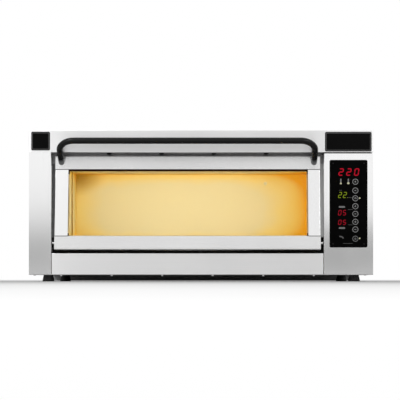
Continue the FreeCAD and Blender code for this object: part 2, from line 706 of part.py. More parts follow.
CUP = "(lamp_dia/2 - key_gap)"
CUP_BORE = f"({CUP} - sill_sheet)"
lamp_housing = new_body("lamp_housing", in_right_wall)
turned(lamp_housing, "XY_Plane", "H_Axis", polygon(
    ("-sill_sheet", CUP_BORE), ("-sill_sheet", "lamp_flange/2"), ("0", "lamp_flange/2"), ("0", CUP),
    ("lamp_housing_length", CUP), ("lamp_housing_length", "0"), ("lamp_housing_length - sill_sheet", "0"),
    ("lamp_housing_length - sill_sheet", CUP_BORE)))
lamp_lens = new_body("lamp_lens", in_right_wall)
LENS = f"({CUP_BORE} - key_gap)"
turned(lamp_lens, "XY_Plane", "H_Axis", polygon(
    ("-sill_sheet", "0"), ("-sill_sheet", f"{LENS} - lamp_lens/2"), ("lamp_lens/2 - sill_sheet", LENS),
    ("lamp_lens - sill_sheet", LENS), ("lamp_lens - sill_sheet", "0")))
lamp_bulb = new_body("lamp_bulb", in_right_wall)
SEAT = "(lamp_housing_length - sill_sheet)"
turned(lamp_bulb, "XY_Plane", "H_Axis", polygon(
    (SEAT, "0"), (SEAT, "bulb_dia*0.3"), (f"{SEAT} - bulb_length*0.3", "bulb_dia*0.3"),
    (f"{SEAT} - bulb_length*0.4", "bulb_dia/2"), (f"{SEAT} - bulb_length*0.85", "bulb_dia/2"),
    (f"{SEAT} - bulb_length", "bulb_dia*0.3"), (f"{SEAT} - bulb_length", "0")))

probe = new_body("temperature_probe", lambda piece: in_oven(piece, PROBE_X, PROBE_Z, CHAMBER_BACK))
PROBE_NECK = "(probe_dia/2 - key_gap)"
turned(probe, "XY_Plane", "V_Axis", polygon(
    ("0", "-probe_reach"), ("probe_dia/2", "-probe_reach"), ("probe_dia/2", "-probe_dia"),
    ("probe_dia", "-probe_dia"), ("probe_dia", "0"), (PROBE_NECK, "0"), (PROBE_NECK, "skin"), ("0", "skin")))

# Electrics behind the control panel

compartment_wall = new_body("compartment_wall")
prism(compartment_wall, "YZ_Plane", COMPARTMENT, f"{COMPARTMENT} + skin",
      rectangle("corner_return + skin", FLOOR, REAR, f"{BODY_TOP} - skin"))

RACK = f"({COMPARTMENT} + skin)"
RACK_FRONT = "contactor_setback"
RACK_BACK = "(contactor_setback + contactor_depth)"
SHOULDER = "(contactor_depth*0.15)"
RACK_LOW = f"({FLOOR} + contactor_rise)"
RACK_STEP = f"({RACK_LOW} + contactor_height*0.3)"
RACK_HIGH = f"({RACK_LOW} + contactor_height)"
contactors = new_body("contactors")
contactor = prism(contactors, "YZ_Plane", RACK, f"{RACK} + contactor_width", polygon(
    (RACK_FRONT, RACK_LOW), (RACK_BACK, RACK_LOW), (RACK_BACK, RACK_STEP),
    (f"{RACK_BACK} - {SHOULDER}", RACK_STEP), (f"{RACK_BACK} - {SHOULDER}", RACK_HIGH),
    (f"{RACK_FRONT} + {SHOULDER}", RACK_HIGH), (f"{RACK_FRONT} + {SHOULDER}", RACK_STEP),
    (RACK_FRONT, RACK_STEP)))
row_of(contactors, contactor, "Y_Axis", "(contactor_depth + contactor_gap)", "2")

TERMINAL_BACK = f"({REAR} - terminal_inset)"
TERMINAL_LOW = f"({FLOOR} + terminal_rise)"
terminal_block = new_body("terminal_block")
prism(terminal_block, "YZ_Plane", RACK, f"{RACK} + terminal_depth", rectangle(
    f"{TERMINAL_BACK} - terminal_length", TERMINAL_LOW, TERMINAL_BACK, f"{TERMINAL_LOW} + terminal_height"))

# Control panel: a plate over the box's cut-out, with eight keys and four displays

KEY_X = f"({PANEL_MIDDLE} + key_offset)"
KEY_FLANGE = "(key_dia/2 + key_gap + key_lap)"

control_panel_plate = new_body("control_panel_plate")
prism(control_panel_plate, "XZ_Plane", "-panel_thickness", "0",
      rectangle(PANEL_LEFT, PANEL_BOTTOM, PANEL_RIGHT, PANEL_TOP))
round_edges(control_panel_plate, "panel_corner",
            ("y", {"x": PANEL_LEFT, "z": PANEL_BOTTOM}), ("y", {"x": PANEL_RIGHT, "z": PANEL_BOTTOM}),
            ("y", {"x": PANEL_LEFT, "z": PANEL_TOP}), ("y", {"x": PANEL_RIGHT, "z": PANEL_TOP}))
recess(control_panel_plate, "XZ_Plane", "-2*panel_thickness", "panel_thickness",
       *(circle(KEY_X, key_height[key], "key_dia + 2*key_gap") for key in KEYS))

for key in KEYS:
    button = new_body(key, lambda piece: in_oven(piece, KEY_X, key_height[key]))
    turned(button, "XY_Plane", "V_Axis", polygon(
        ("0", "key_proud*0.4 - panel_thickness - key_proud"),
        ("key_dia*0.3", "key_proud*0.4 - panel_thickness - key_proud"),
        ("key_dia*0.38", "-panel_thickness - key_proud"), ("key_dia*0.46", "-panel_thickness - key_proud"),
        ("key_dia/2", "key_proud*0.5 - panel_thickness - key_proud"), ("key_dia/2", "key_rest_gap"),
        (KEY_FLANGE, "key_rest_gap"), (KEY_FLANGE, "key_rest_gap + key_flange"),
        ("key_dia*0.25", "key_rest_gap + key_flange"), ("key_dia*0.25", "key_stem"), ("0", "key_stem")))

control_board = new_body("control_board")
prism(control_board, "XZ_Plane", "board_gap", "board_gap + board_thickness", rectangle(
    f"{HOLE_LEFT} - board_lap", f"{HOLE_LOW} - board_lap",
    f"{HOLE_RIGHT} + board_lap", f"{HOLE_HIGH} + board_lap"))
prism(control_board, "XZ_Plane", "skin", "board_gap", *(
    circle(across, up, "standoff_dia")
    for across in (f"{HOLE_LEFT} - board_lap/2", f"{HOLE_RIGHT} + board_lap/2")
    for up in (f"{HOLE_LOW} - board_lap/2", f"{HOLE_HIGH} + board_lap/2")))

DISPLAY_LEFT = f"({PANEL_LEFT} + display_inset)"
DISPLAYS = {
    "display_temperature": f"({DISPLAY_BOTTOM} + display_temperature_height/2)",
    "display_timer": f"({key_height['key_select']} + display_timer_rise)",
    "display_top_heat": f"({key_height['key_top_heat_down']} + display_top_heat_rise)",
    "display_bottom_heat": f"({key_height['key_bottom_heat_down']} + display_bottom_heat_rise)",
}
display_modules = new_body("display_modules")
for display, centre in DISPLAYS.items():
    prism(display_modules, "XZ_Plane", "0", "board_gap", rectangle(
        DISPLAY_LEFT, f"{centre} - {display}_height/2",
        f"{DISPLAY_LEFT} + {display}_length", f"{centre} + {display}_height/2"))

# Rear fittings

cable_gland = new_body("cable_gland", lambda piece: in_oven(piece, GLAND_X, GLAND_Z, "body_depth"))
turned(cable_gland, "XY_Plane", "V_Axis", polygon(
    ("gland_bore*0.3", "-4*skin"), ("gland_bore/2 - key_gap", "-4*skin"), ("gland_bore/2 - key_gap", "0"),
    ("gland_dia/2", "0"), ("gland_dia/2", "gland_reach*0.4"), ("gland_dia*0.38", "gland_reach*0.6"),
    ("gland_dia*0.38", "gland_reach*0.85"), ("gland_dia*0.28", "gland_reach"),
    ("gland_bore*0.3", "gland_reach")))

exhaust_spigot = new_body("exhaust_spigot", lambda piece: in_oven(piece, MIDDLE, FLUE_Z, "body_depth"))
turned(exhaust_spigot, "XY_Plane", "V_Axis", polygon(
    ("flue_dia/2 - skin", "0"), ("flue_flange/2", "0"), ("flue_flange/2", "skin"), ("flue_dia/2", "skin"),
    ("flue_dia/2", "flue_reach"), ("flue_dia/2 - skin", "flue_reach")))

# Door frame: folded rails and stiles closed by an inner frame

WINDOW_LEFT = f"({DOOR_LEFT} + stile_width)"
WINDOW_RIGHT = f"({DOOR_RIGHT} - right_stile_width)"

door_top_rail = new_body("door_top_rail", in_door)
prism(door_top_rail, "YZ_Plane", DOOR_LEFT, DOOR_RIGHT,
      rectangle(DOOR_FACE, RAIL_SEAM, DOOR_INNER, DOOR_RISE))
round_edges(door_top_rail, "bend_radius", ("x", {"y": DOOR_FACE, "z": DOOR_RISE}))
recess(door_top_rail, "YZ_Plane", f"{DOOR_LEFT} + skin", f"{DOOR_RIGHT} - skin",
       rectangle(DOOR_SKIN, f"{RAIL_SEAM} - skin", f"{DOOR_INNER} + skin", f"{DOOR_RISE} - skin"))

door_bottom_rail = new_body("door_bottom_rail", in_door)
prism(door_bottom_rail, "YZ_Plane", DOOR_LEFT, DOOR_RIGHT,
      rectangle(DOOR_FACE, "-door_drop", DOOR_INNER, "bottom_rail_top"))
round_edges(door_bottom_rail, "bend_radius", ("x", {"y": DOOR_FACE, "z": "-door_drop"}))
recess(door_bottom_rail, "YZ_Plane", f"{DOOR_LEFT} + skin", f"{DOOR_RIGHT} - skin",
       rectangle(DOOR_SKIN, "skin - door_drop", f"{DOOR_INNER} + skin", "bottom_rail_top + skin"))
recess(door_bottom_rail, "YZ_Plane", f"{DOOR_LEFT} - skin", f"{DOOR_RIGHT} + skin",
       circle("0", "0", "pin_dia + 2*block_gap"))


def door_stile(label, outer, side_wall, inner):
    """A stile open towards the window, with its outer side closed."""
    stile = new_body(label, in_door)
    prism(stile, "XY_Plane", "bottom_rail_top", RAIL_SEAM, polygon(
        (outer, DOOR_FACE), (inner, DOOR_FACE), (inner, DOOR_SKIN), (side_wall, DOOR_SKIN),
        (side_wall, DOOR_INNER), (outer, DOOR_INNER)))
    round_edges(stile, "bend_radius", ("z", {"x": outer, "y": DOOR_FACE}))


door_stile("door_left_stile", DOOR_LEFT, f"{DOOR_LEFT} + skin", WINDOW_LEFT)
door_stile("door_right_stile", DOOR_RIGHT, f"{DOOR_RIGHT} - skin", WINDOW_RIGHT)

door_inner_frame = new_body("door_inner_frame", in_door)
prism(door_inner_frame, "XZ_Plane", DOOR_INNER, DOOR_BACK,
      rectangle(DOOR_LEFT, "-door_drop", DOOR_RIGHT, DOOR_RISE))
recess(door_inner_frame, "XZ_Plane", f"{DOOR_INNER} - skin", f"{DOOR_BACK} + skin",
       rectangle(WINDOW_LEFT, "bottom_rail_top", WINDOW_RIGHT, RAIL_SEAM))

# Double glazing: two panes held apart by a spacer

GLASS = (f"{WINDOW_LEFT} - glass_lap", "bottom_rail_top - glass_lap",
         f"{WINDOW_RIGHT} + glass_lap", f"{RAIL_SEAM} + glass_lap")
PANES = {
    "door_outer_glass": (DOOR_SKIN, f"{DOOR_SKIN} + glass_thickness"),
    "door_inner_glass": (f"{DOOR_INNER} - glass_thickness", DOOR_INNER),
}
for label, (front, back) in PANES.items():
    pane = new_body(label, in_door)
    prism(pane, "XZ_Plane", front, back, rectangle(*GLASS))

glass_spacer = new_body("glass_spacer", in_door)
SPACER = (f"{DOOR_SKIN} + glass_thickness", f"{DOOR_INNER} - glass_thickness")
prism(glass_spacer, "XZ_Plane", *SPACER, rectangle(*GLASS))
recess(glass_spacer, "XZ_Plane", f"{SPACER[0]} - skin", f"{SPACER[1]} + skin", rectangle(
    f"{GLASS[0]} + spacer_width", f"{GLASS[1]} + spacer_width",
    f"{GLASS[2]} - spacer_width", f"{GLASS[3]} - spacer_width"))

door_gasket = new_body("door_gasket", in_door)
SEAL_LEFT = f"({DOOR_LEFT} + gasket_inset)"
SEAL_RIGHT = f"({DOOR_RIGHT} - gasket_inset)"
SEAL_TOP = f"({DOOR_RISE} - gasket_inset)"
prism(door_gasket, "XZ_Plane", DOOR_BACK, f"{DOOR_BACK} + gasket_depth", polygon(
    (SEAL_LEFT, "bottom_rail_top"), (SEAL_LEFT, SEAL_TOP),
    (SEAL_RIGHT, SEAL_TOP), (SEAL_RIGHT, "bottom_rail_top"),
    (f"{SEAL_RIGHT} - gasket_width", "bottom_rail_top"),
    (f"{SEAL_RIGHT} - gasket_width", f"{SEAL_TOP} - gasket_width"),
    (f"{SEAL_LEFT} + gasket_width", f"{SEAL_TOP} - gasket_width"),
    (f"{SEAL_LEFT} + gasket_width", "bottom_rail_top")))


# Handle: one bent tube, mitred to the rail's face, its arms pushed over two sockets

def staple(span, start, rise, bend):
    """Up one arm, across the bar and down the other arm, with round corners."""
    def add(sketch):
        quarter = math.pi/2
        half, low, high, radius = (size(formula) for formula in (f"{span}/2", start, rise, bend))
        up = Vector(0, 0, 1)
        left = Part.Circle(Vector(radius - half, high - radius, 0), up, radius)
        right = Part.Circle(Vector(half - radius, high - radius, 0), up, radius)
        sketch.addGeometry([
            Part.LineSegment(Vector(-half, low, 0), Vector(-half, high - radius, 0)),
            Part.ArcOfCircle(left, quarter, 2*quarter),
            Part.LineSegment(Vector(radius - half, high, 0), Vector(half - radius, high, 0)),
            Part.ArcOfCircle(right, 0, quarter),
            Part.LineSegment(Vector(half, high - radius, 0), Vector(half, low, 0)),
        ])
        for joint in ((0, 2, 1, 2), (1, 1, 2, 1), (2, 2, 3, 2), (3, 1, 4, 1)):
            sketch.addConstraint(Sketcher.Constraint("Tangent", *joint))
        sketch.addConstraint(Sketcher.Constraint("Vertical", 0))
        sketch.addConstraint(Sketcher.Constraint("Vertical", 4))
        sketch.addConstraint(Sketcher.Constraint("Equal", 1, 3))
        fix(sketch, "DistanceX", f"-{span}/2", -1, 1, 0, 1)
        fix(sketch, "DistanceX", f"{span}/2", -1, 1, 4, 2)
        fix(sketch, "DistanceY", start, -1, 1, 0, 1)
        fix(sketch, "DistanceY", start, -1, 1, 4, 2)
        fix(sketch, "DistanceY", rise, -1, 1, 2, 1)
        fix(sketch, "Radius", bend, 1)
    return add


def mitre(piece):
    """Cuts the arms' ends off along the face of the top rail."""
    reach = f"({HANDLE_SPAN}/2 + handle_dia)"
    recess(piece, "YZ_Plane", f"-{reach}", reach, polygon(
        ("-handle_dia", ARM_START), ("handle_dia", f"-{ARM_START}"),
        ("handle_dia", "-2*handle_dia"), ("-handle_dia", "-2*handle_dia")))


ARM_START = "(-handle_dia*tan(handle_tilt))"
HANDLE_BORE = "(handle_dia - 2*handle_wall)"
door_handle = new_body("door_handle", on_handle)
swept(door_handle, "XZ_Plane", "0", staple(HANDLE_SPAN, ARM_START, "arm_length", "handle_bend"),
      "handle_dia", HANDLE_BORE)
mitre(door_handle)

handle_sockets = new_body("handle_sockets", on_handle)
prism(handle_sockets, "XY_Plane", ARM_START, "socket_length", *(
    circle(arm, "0", f"{HANDLE_BORE} - 2*socket_gap") for arm in (f"-{HANDLE_SPAN}/2", f"{HANDLE_SPAN}/2")))
mitre(handle_sockets)

# Hinge: blocks and pins in the door, flanged bushes in the posts

hinge_blocks = new_body("hinge_blocks", in_door)
BLOCK = (f"{DOOR_SKIN} + block_gap", "-block_height/2", f"{DOOR_INNER} - block_gap", "block_height/2")
BLOCK_ENDS = (
    (f"{DOOR_LEFT} + skin + block_gap", f"{DOOR_LEFT} + block_width"),
    (f"{DOOR_RIGHT} - block_width", f"{DOOR_RIGHT} - skin - block_gap"),
)
for left, right in BLOCK_ENDS:
    prism(hinge_blocks, "YZ_Plane", left, right, rectangle(*BLOCK))
recess(hinge_blocks, "YZ_Plane", DOOR_LEFT, DOOR_RIGHT, circle("0", "0", "pin_dia + 2*pin_gap"))

hinge_pins = new_body("hinge_pins", in_door)
PIN_ENDS = (
    (f"{MOUTH_LEFT} - pin_in_bush", f"{DOOR_LEFT} + pin_in_block"),
    (f"{DOOR_RIGHT} - pin_in_block", f"{MOUTH_RIGHT} + pin_in_bush"),
)
for left, right in PIN_ENDS:
    prism(hinge_pins, "YZ_Plane", left, right, circle("0", "0", "pin_dia"))

hinge_bushes = new_body("hinge_bushes")
BUSHES = (
    ((f"{MOUTH_LEFT} - bush_length", MOUTH_LEFT), (MOUTH_LEFT, f"{MOUTH_LEFT} + bush_flange")),
    ((MOUTH_RIGHT, f"{MOUTH_RIGHT} + bush_length"), (f"{MOUTH_RIGHT} - bush_flange", MOUTH_RIGHT)),
)
for barrel, flange in BUSHES:
    prism(hinge_bushes, "YZ_Plane", *flange, circle("pivot_depth", PIVOT, "bush_flange_dia"))
    prism(hinge_bushes, "YZ_Plane", *barrel, circle("pivot_depth", PIVOT, "bush_dia"))
recess(hinge_bushes, "YZ_Plane", f"{MOUTH_LEFT} - 2*bush_length", f"{MOUTH_RIGHT} + 2*bush_length",
       circle("pivot_depth", PIVOT, "pin_dia + 2*pin_gap"))

# Check every object, then write one file for each piece

doc.recompute()
for thing in doc.Objects:
    if "Invalid" in thing.State or "Error" in thing.State:
        raise RuntimeError(f"{thing.Label} failed: {thing.State}")
for piece in pieces:
    if piece.Shape.isNull() or not piece.Shape.isValid() or not piece.Shape.Solids:
        raise RuntimeError(f"{piece.Label} has no valid solid")

os.makedirs("parts", exist_ok=True)
for piece in pieces:
    piece.Shape.exportStep(f"parts/{piece.Label}.step")
    print(piece.Label, len(piece.Shape.Solids), round(piece.Shape.Volume))
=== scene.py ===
import math

import bmesh
import bpy
from mathutils import Matrix, Vector


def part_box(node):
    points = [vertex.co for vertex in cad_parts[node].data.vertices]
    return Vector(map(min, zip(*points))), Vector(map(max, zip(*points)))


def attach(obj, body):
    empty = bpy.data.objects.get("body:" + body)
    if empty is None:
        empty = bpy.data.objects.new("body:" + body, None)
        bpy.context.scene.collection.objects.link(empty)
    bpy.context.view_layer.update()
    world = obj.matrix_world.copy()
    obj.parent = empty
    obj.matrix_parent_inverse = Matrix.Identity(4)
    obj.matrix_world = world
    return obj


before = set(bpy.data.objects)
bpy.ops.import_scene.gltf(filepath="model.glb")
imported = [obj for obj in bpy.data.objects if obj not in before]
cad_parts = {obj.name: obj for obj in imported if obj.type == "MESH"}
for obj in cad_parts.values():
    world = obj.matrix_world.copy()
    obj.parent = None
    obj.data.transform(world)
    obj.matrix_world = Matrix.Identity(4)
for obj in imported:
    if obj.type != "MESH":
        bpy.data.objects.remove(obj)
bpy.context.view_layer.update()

# Feet
# Four flared feet moulded in black rubber, each drawn up under a corner by one screw.
# The rubber is matt, with the fine grain of its mould.

FINE_DETAIL = 4
FINE_ROUGHNESS = 0.65
CLOUD_DETAIL = 2
CLOUD_SPREAD = (0.3, 0.7)
BUMP_STRENGTH = 0.5


def new_tree(kind, name, takes, gives):
    """An empty node group, with the kind of each input that it takes and each output that it gives."""
    tree = bpy.data.node_groups.new(name, kind)
    for way, sockets in (("INPUT", takes), ("OUTPUT", gives)):
        for socket, carries in sockets.items():
            tree.interface.new_socket(socket, in_out=way, socket_type="NodeSocket" + carries)
    return tree


def feed(tree, node, feeds):
    """Links each named input of a node to another node's output, or gives it a value."""
    for socket, source in feeds.items():
        if isinstance(source, bpy.types.NodeSocket):
            tree.links.new(source, node.inputs[socket])
        else:
            node.inputs[socket].default_value = source


def add_node(tree, kind, feeds, **settings):
    """Adds a node to a tree, with its settings and what feeds its inputs."""
    node = tree.nodes.new(kind)
    for setting, value in settings.items():
        setattr(node, setting, value)
    feed(tree, node, feeds)
    return node


def object_place(tree):
    """The place of a point on its own piece."""
    return tree.nodes.new("ShaderNodeTexCoord").outputs["Object"]


def vector_math(tree, operation, *terms):
    """The result of a sum on places or directions."""
    node = add_node(tree, "ShaderNodeVectorMath", dict(enumerate(terms)), operation=operation)
    return node.outputs["Value" if operation in ("DOT_PRODUCT", "LENGTH") else "Vector"]


def ranged(tree, value, from_ends, to_ends=(0, 1), **settings):
    """A value carried from one range to another, and held at its ends."""
    node = add_node(tree, "ShaderNodeMapRange", {
        "Value": value, "From Min": from_ends[0], "From Max": from_ends[1],
        "To Min": to_ends[0], "To Max": to_ends[1]}, **settings)
    return node.outputs["Result"]


def blended(tree, share, first, second):
    """A colour between two, by a share of the second."""
    node = add_node(tree, "ShaderNodeMix", {"Factor": share, "A": first, "B": second}, data_type="RGBA")
    return node.outputs["Result"]


def surface_grain():
    """A fine grain stretched along the piece's axes, and a broad cloud for slow changes of gloss."""
    tree = new_tree("ShaderNodeTree", "surface_grain", {"Stretch": "Vector", "Cloud Scale": "Float"},
                    {"Grain": "Float", "Cloud": "Float"})
    inside = tree.nodes.new("NodeGroupInput")
    place = object_place(tree)
    stretched = vector_math(tree, "MULTIPLY", place, inside.outputs["Stretch"])
    fine = add_node(tree, "ShaderNodeTexNoise", {
        "Vector": stretched, "Scale": 1, "Detail": FINE_DETAIL, "Roughness": FINE_ROUGHNESS})
    broad = add_node(tree, "ShaderNodeTexNoise", {
        "Vector": place, "Scale": inside.outputs["Cloud Scale"], "Detail": CLOUD_DETAIL})
    add_node(tree, "NodeGroupOutput", {"Grain": fine.outputs["Fac"], "Cloud": broad.outputs["Fac"]})
    return tree


GRAIN = surface_grain()


def grained(name, dark, light, rough, grain, relief=0.0, metallic=0.0, cloud=5.0, sheen=0.5):
    """A finish whose tone and relief follow its grain, and whose roughness drifts between two ends."""
    material = bpy.data.materials.new(name)
    material.use_nodes = True
    tree = material.node_tree
    shader = tree.nodes["Principled BSDF"]
    surface = add_node(tree, "ShaderNodeGroup", {"Stretch": grain, "Cloud Scale": cloud},
                       name="surface", node_tree=GRAIN)
    feed(tree, shader, {
        "Base Color": blended(tree, surface.outputs["Grain"], (*dark, 1), (*light, 1)),
        "Roughness": ranged(tree, surface.outputs["Cloud"], CLOUD_SPREAD, rough),
        "Metallic": metallic,
        "Specular IOR Level": sheen})
    if relief:
        bump = add_node(tree, "ShaderNodeBump", {
            "Height": surface.outputs["Grain"], "Strength": BUMP_STRENGTH, "Distance": relief})
        feed(tree, shader, {"Normal": bump.outputs["Normal"]})
    return material


def grey(tone):
    """A neutral colour."""
    return tone, tone, tone


def even(scale):
    """A grain equally fine along every axis."""
    return scale, scale, scale


def dress(material, *nodes):
    """Gives fixed pieces their finish."""
    for node in nodes:
        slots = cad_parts[node].data.materials
        slots.clear()
        slots.append(material)


foot_rubber = grained("foot_rubber", grey(0.008), grey(0.03), rough=(0.55, 0.75), grain=even(900),
                      relief=0.0002)
dress(foot_rubber, "foot_front_left", "foot_front_right", "foot_rear_left", "foot_rear_right")

# Base tray
# A pan of zinc-coated sheet with folded lips, which carries the oven on its feet.
# Only its dark underside and edge show below the skin.

tray_zinc = grained("tray_zinc", grey(0.28), grey(0.44), rough=(0.45, 0.6), grain=even(60), metallic=0.4)
dress(tray_zinc, "base_tray")

# Outer skin
# Stainless sheet folded into posts, fascias, covers and a lid, brushed before folding.
# The posts are brushed upright, the fascias and covers along their length, and a clear satin gloss is left.

POST_TONES = (grey(0.86), grey(0.95))
COVER_TONES = ((0.58, 0.58, 0.59), (0.70, 0.70, 0.71))
GRAIN_ALONG = 5
GRAIN_ACROSS = 800
UPRIGHT = (GRAIN_ACROSS, GRAIN_ACROSS, GRAIN_ALONG)
LENGTHWISE = (GRAIN_ALONG, GRAIN_ALONG, GRAIN_ACROSS)
FLAT = (GRAIN_ALONG, GRAIN_ACROSS, GRAIN_ALONG)
ALONG_TANGENT = 0.0
ACROSS_TANGENT = 0.25
BRUSH_RELIEF = 0.00002


def brushed(name, dark, light, rough, grain, turn=None):
    """Brushed sheet, whose reflections are drawn out square to the grain where a turn is given."""
    material = grained(name, dark, light, rough, grain, relief=BRUSH_RELIEF, metallic=1.0)
    if turn is not None:
        tree = material.node_tree
        tangent = add_node(tree, "ShaderNodeTangent", {}, direction_type="RADIAL", axis="Z")
        feed(tree, tree.nodes["Principled BSDF"], {
            "Anisotropic": 1.0, "Anisotropic Rotation": turn, "Tangent": tangent.outputs["Tangent"]})
    return material


upright_steel = brushed("upright_steel", *POST_TONES, rough=(0.17, 0.21), grain=UPRIGHT, turn=ALONG_TANGENT)
box_steel = brushed("box_steel", *POST_TONES, rough=(0.13, 0.17), grain=UPRIGHT, turn=ALONG_TANGENT)
lengthwise_steel = brushed("lengthwise_steel", grey(0.90), grey(0.98), rough=(0.28, 0.34), grain=LENGTHWISE,
                           turn=ACROSS_TANGENT)
cover_steel = brushed("cover_steel", *COVER_TONES, rough=(0.28, 0.36), grain=FLAT)
side_steel = brushed("side_steel", *COVER_TONES, rough=(0.28, 0.36), grain=LENGTHWISE)
dress(upright_steel, "left_side_panel")
dress(box_steel, "control_box_front")
dress(lengthwise_steel, "top_fascia", "lower_fascia")
dress(cover_steel, "top_cover")
dress(side_steel, "right_side_cover", "rear_panel")

# Screws
# Zinc-plated pan heads with a cross recess, driven through the skins into folded flanges.
# Blackened ones hold the soffit, and dome nuts, painted pale as a painted glint, hold the lower fascia from
# below.

SCREW_RADIUS = 0.0038
SCREW_RISE = 0.0022
SCREW_SIDES = 32
HEAD_PROFILE = ((0, 1), (0.35, 1), (0.8, 0.85), (1, 0.6))
RECESS_REACH = 0.0021
RECESS_HALF_WIDTH = 0.0005
RECESS_DEPTH = 0.0013
RECESS_TAPER = 0.8
LEAST_SLOPE = 0.001
NUT_RADIUS = 0.0030
NUT_RISE = 0.0042
NUT_PROFILE = ((0, 1), (0.55, 1), (0.8, 0.85), (0.95, 0.5), (1, 0.2))


def cross_recess(angle):
    """Distance from the screw's axis to the edge of its cross-shaped recess."""
    along = max(abs(math.cos(angle)), abs(math.sin(angle)))
    across = max(min(abs(math.cos(angle)), abs(math.sin(angle))), LEAST_SLOPE)
    return min(RECESS_REACH/along, RECESS_HALF_WIDTH/across)


def recess_floor(angle):
    """Distance from the screw's axis to the edge of the recess at its floor."""
    return RECESS_TAPER*cross_recess(angle)


def scaled(profile, rise, radius):
    """A turned profile, given in shares of its rise and its radius."""
    return [(share*rise, reach*radius) for share, reach in profile]


def turned_shape(name, rings, sides):
    """A closed mesh of rings, each a height and a radius, or a rule for the radius at an angle."""
    shape = bmesh.new()
    loops = []
    for height, radius in rings:
        loop = []
        for side in range(sides):
            angle = 2*math.pi*side/sides
            reach = radius(angle) if callable(radius) else radius
            loop.append(shape.verts.new((reach*math.cos(angle), reach*math.sin(angle), height)))
        loops.append(loop)
    for low_loop, high_loop in zip(loops, loops[1:]):
        for side in range(sides):
            after = (side + 1) % sides
            shape.faces.new((low_loop[side], low_loop[after], high_loop[after], high_loop[side]))
    shape.faces.new(reversed(loops[0]))
    shape.faces.new(loops[-1])
    mesh = bpy.data.meshes.new(name)
    shape.to_mesh(mesh)
    shape.free()
    return mesh


def rows_of_copies():
    """A tree that sets a shape on each point, turned as the point says, and makes the copies real."""
    tree = new_tree("GeometryNodeTree", "rows_of_copies",
                    {"Points": "Geometry", "Shape": "Object", "Size": "Float", "Finish": "Material"},
                    {"Copies": "Geometry"})
    inside = tree.nodes.new("NodeGroupInput")
    shape = add_node(tree, "GeometryNodeObjectInfo", {"Object": inside.outputs["Shape"]})
    turn = add_node(tree, "GeometryNodeInputNamedAttribute", {"Name": "turn"}, data_type="FLOAT_VECTOR")
    rotation = add_node(tree, "FunctionNodeEulerToRotation", {"Euler": turn.outputs["Attribute"]})
    copies = add_node(tree, "GeometryNodeInstanceOnPoints", {
        "Points": inside.outputs["Points"], "Instance": shape.outputs["Geometry"],
        "Rotation": rotation.outputs["Rotation"], "Scale": inside.outputs["Size"]})
    real = add_node(tree, "GeometryNodeRealizeInstances", {"Geometry": copies.outputs["Instances"]})
    finish = add_node(tree, "GeometryNodeSetMaterial", {
        "Geometry": real.outputs["Geometry"], "Material": inside.outputs["Finish"]})
    add_node(tree, "NodeGroupOutput", {"Copies": finish.outputs["Geometry"]})
    return tree


ROWS = rows_of_copies()
ROW_INPUTS = {item.name: item.identifier for item in ROWS.interface.items_tree if item.in_out == "INPUT"}


def set_out(name, shape, rows, finish, body, size=1.0):
    """Copies of a shape in straight rows, each row given by its ends, its count and the way it faces."""
    places = []
    turns = []
    for first, last, count, facing in rows:
        turn = Vector(facing).to_track_quat("Z", "Y").to_euler()
        for number in range(count):
            places.append(Vector(first).lerp(Vector(last), number/max(count - 1, 1)))
            turns.extend(turn)
    points = bpy.data.meshes.new(name + "_points")
    points.from_pydata(places, [], [])
    points.attributes.new("turn", "FLOAT_VECTOR", "POINT").data.foreach_set("vector", turns)
    master = bpy.data.objects.new(name + "_master", shape)
    piece = bpy.data.objects.new(name, points)
    bpy.context.scene.collection.objects.link(master)
    bpy.context.scene.collection.objects.link(piece)
    rule = piece.modifiers.new("rows", "NODES")
    rule.node_group = ROWS
    rule[ROW_INPUTS["Shape"]] = master
    rule[ROW_INPUTS["Size"]] = size
    rule[ROW_INPUTS["Finish"]] = finish
    evaluated = piece.evaluated_get(bpy.context.evaluated_depsgraph_get())
    mesh = bpy.data.meshes.new_from_object(evaluated)
    piece.modifiers.remove(rule)
    piece.data = mesh
    bpy.data.objects.remove(master)
    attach(piece, body)


screw_head = turned_shape("screw_head", (
    *scaled(HEAD_PROFILE, SCREW_RISE, SCREW_RADIUS), (SCREW_RISE, cross_recess),
    (SCREW_RISE - RECESS_DEPTH, recess_floor)), SCREW_SIDES)
dome_nut = turned_shape("dome_nut", scaled(NUT_PROFILE, NUT_RISE, NUT_RADIUS), SCREW_SIDES)
screw_zinc = grained("screw_zinc", (0.55, 0.55, 0.56), (0.72, 0.72, 0.73), rough=(0.25, 0.38),
                     grain=even(700), metallic=0.4)
screw_oxide = grained("screw_oxide", grey(0.004), grey(0.012), rough=(0.4, 0.55), grain=even(700),
                      sheen=0.15)
# The dome nuts are painted pale and matt so that they show as a painted glint under the fascia.
nut_glint_pale = grained("nut_glint_pale", grey(0.86), grey(0.94), rough=(0.3, 0.4), grain=even(700))

DOWN = (0, 0, -1)
BACKWARD = (0, 1, 0)
LEFTWARD = (-1, 0, 0)
RIGHTWARD = (1, 0, 0)
EDGE = 0.012
SOFFIT_ENDS = (-0.2805, 0.1980)
SOFFIT_INSET = 0.036
SOFFIT_COUNT = 4
SOFFIT_SCREW_SIZE = 1.8
NUT_ENDS = (-0.423, 0.341)
NUT_INSET = 0.006
NUT_COUNT = 6
POST_ENDS = (-0.504, 0.497)
REAR_COUNT = 7
SIDE_INSET = 0.048
SIDE_COUNT = 3
LID_FRONT = 0.072
LID_BACK = 0.024
LID_COUNT = 4
body_low, body_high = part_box("rear_panel")
left = body_low.x
right = body_high.x
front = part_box("left_side_panel")[0].y
back = body_high.y
low = body_low.z + EDGE
high = body_high.z - EDGE
lid = (body_high.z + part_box("top_cover")[1].z)/2
tray_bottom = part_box("foot_front_left")[1].z
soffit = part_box("top_fascia")[0].z


def along_front(ends, inset, height, count):
    """A row along the front that faces down, by its two ends across."""
    return (ends[0], front + inset, height), (ends[1], front + inset, height), count, DOWN


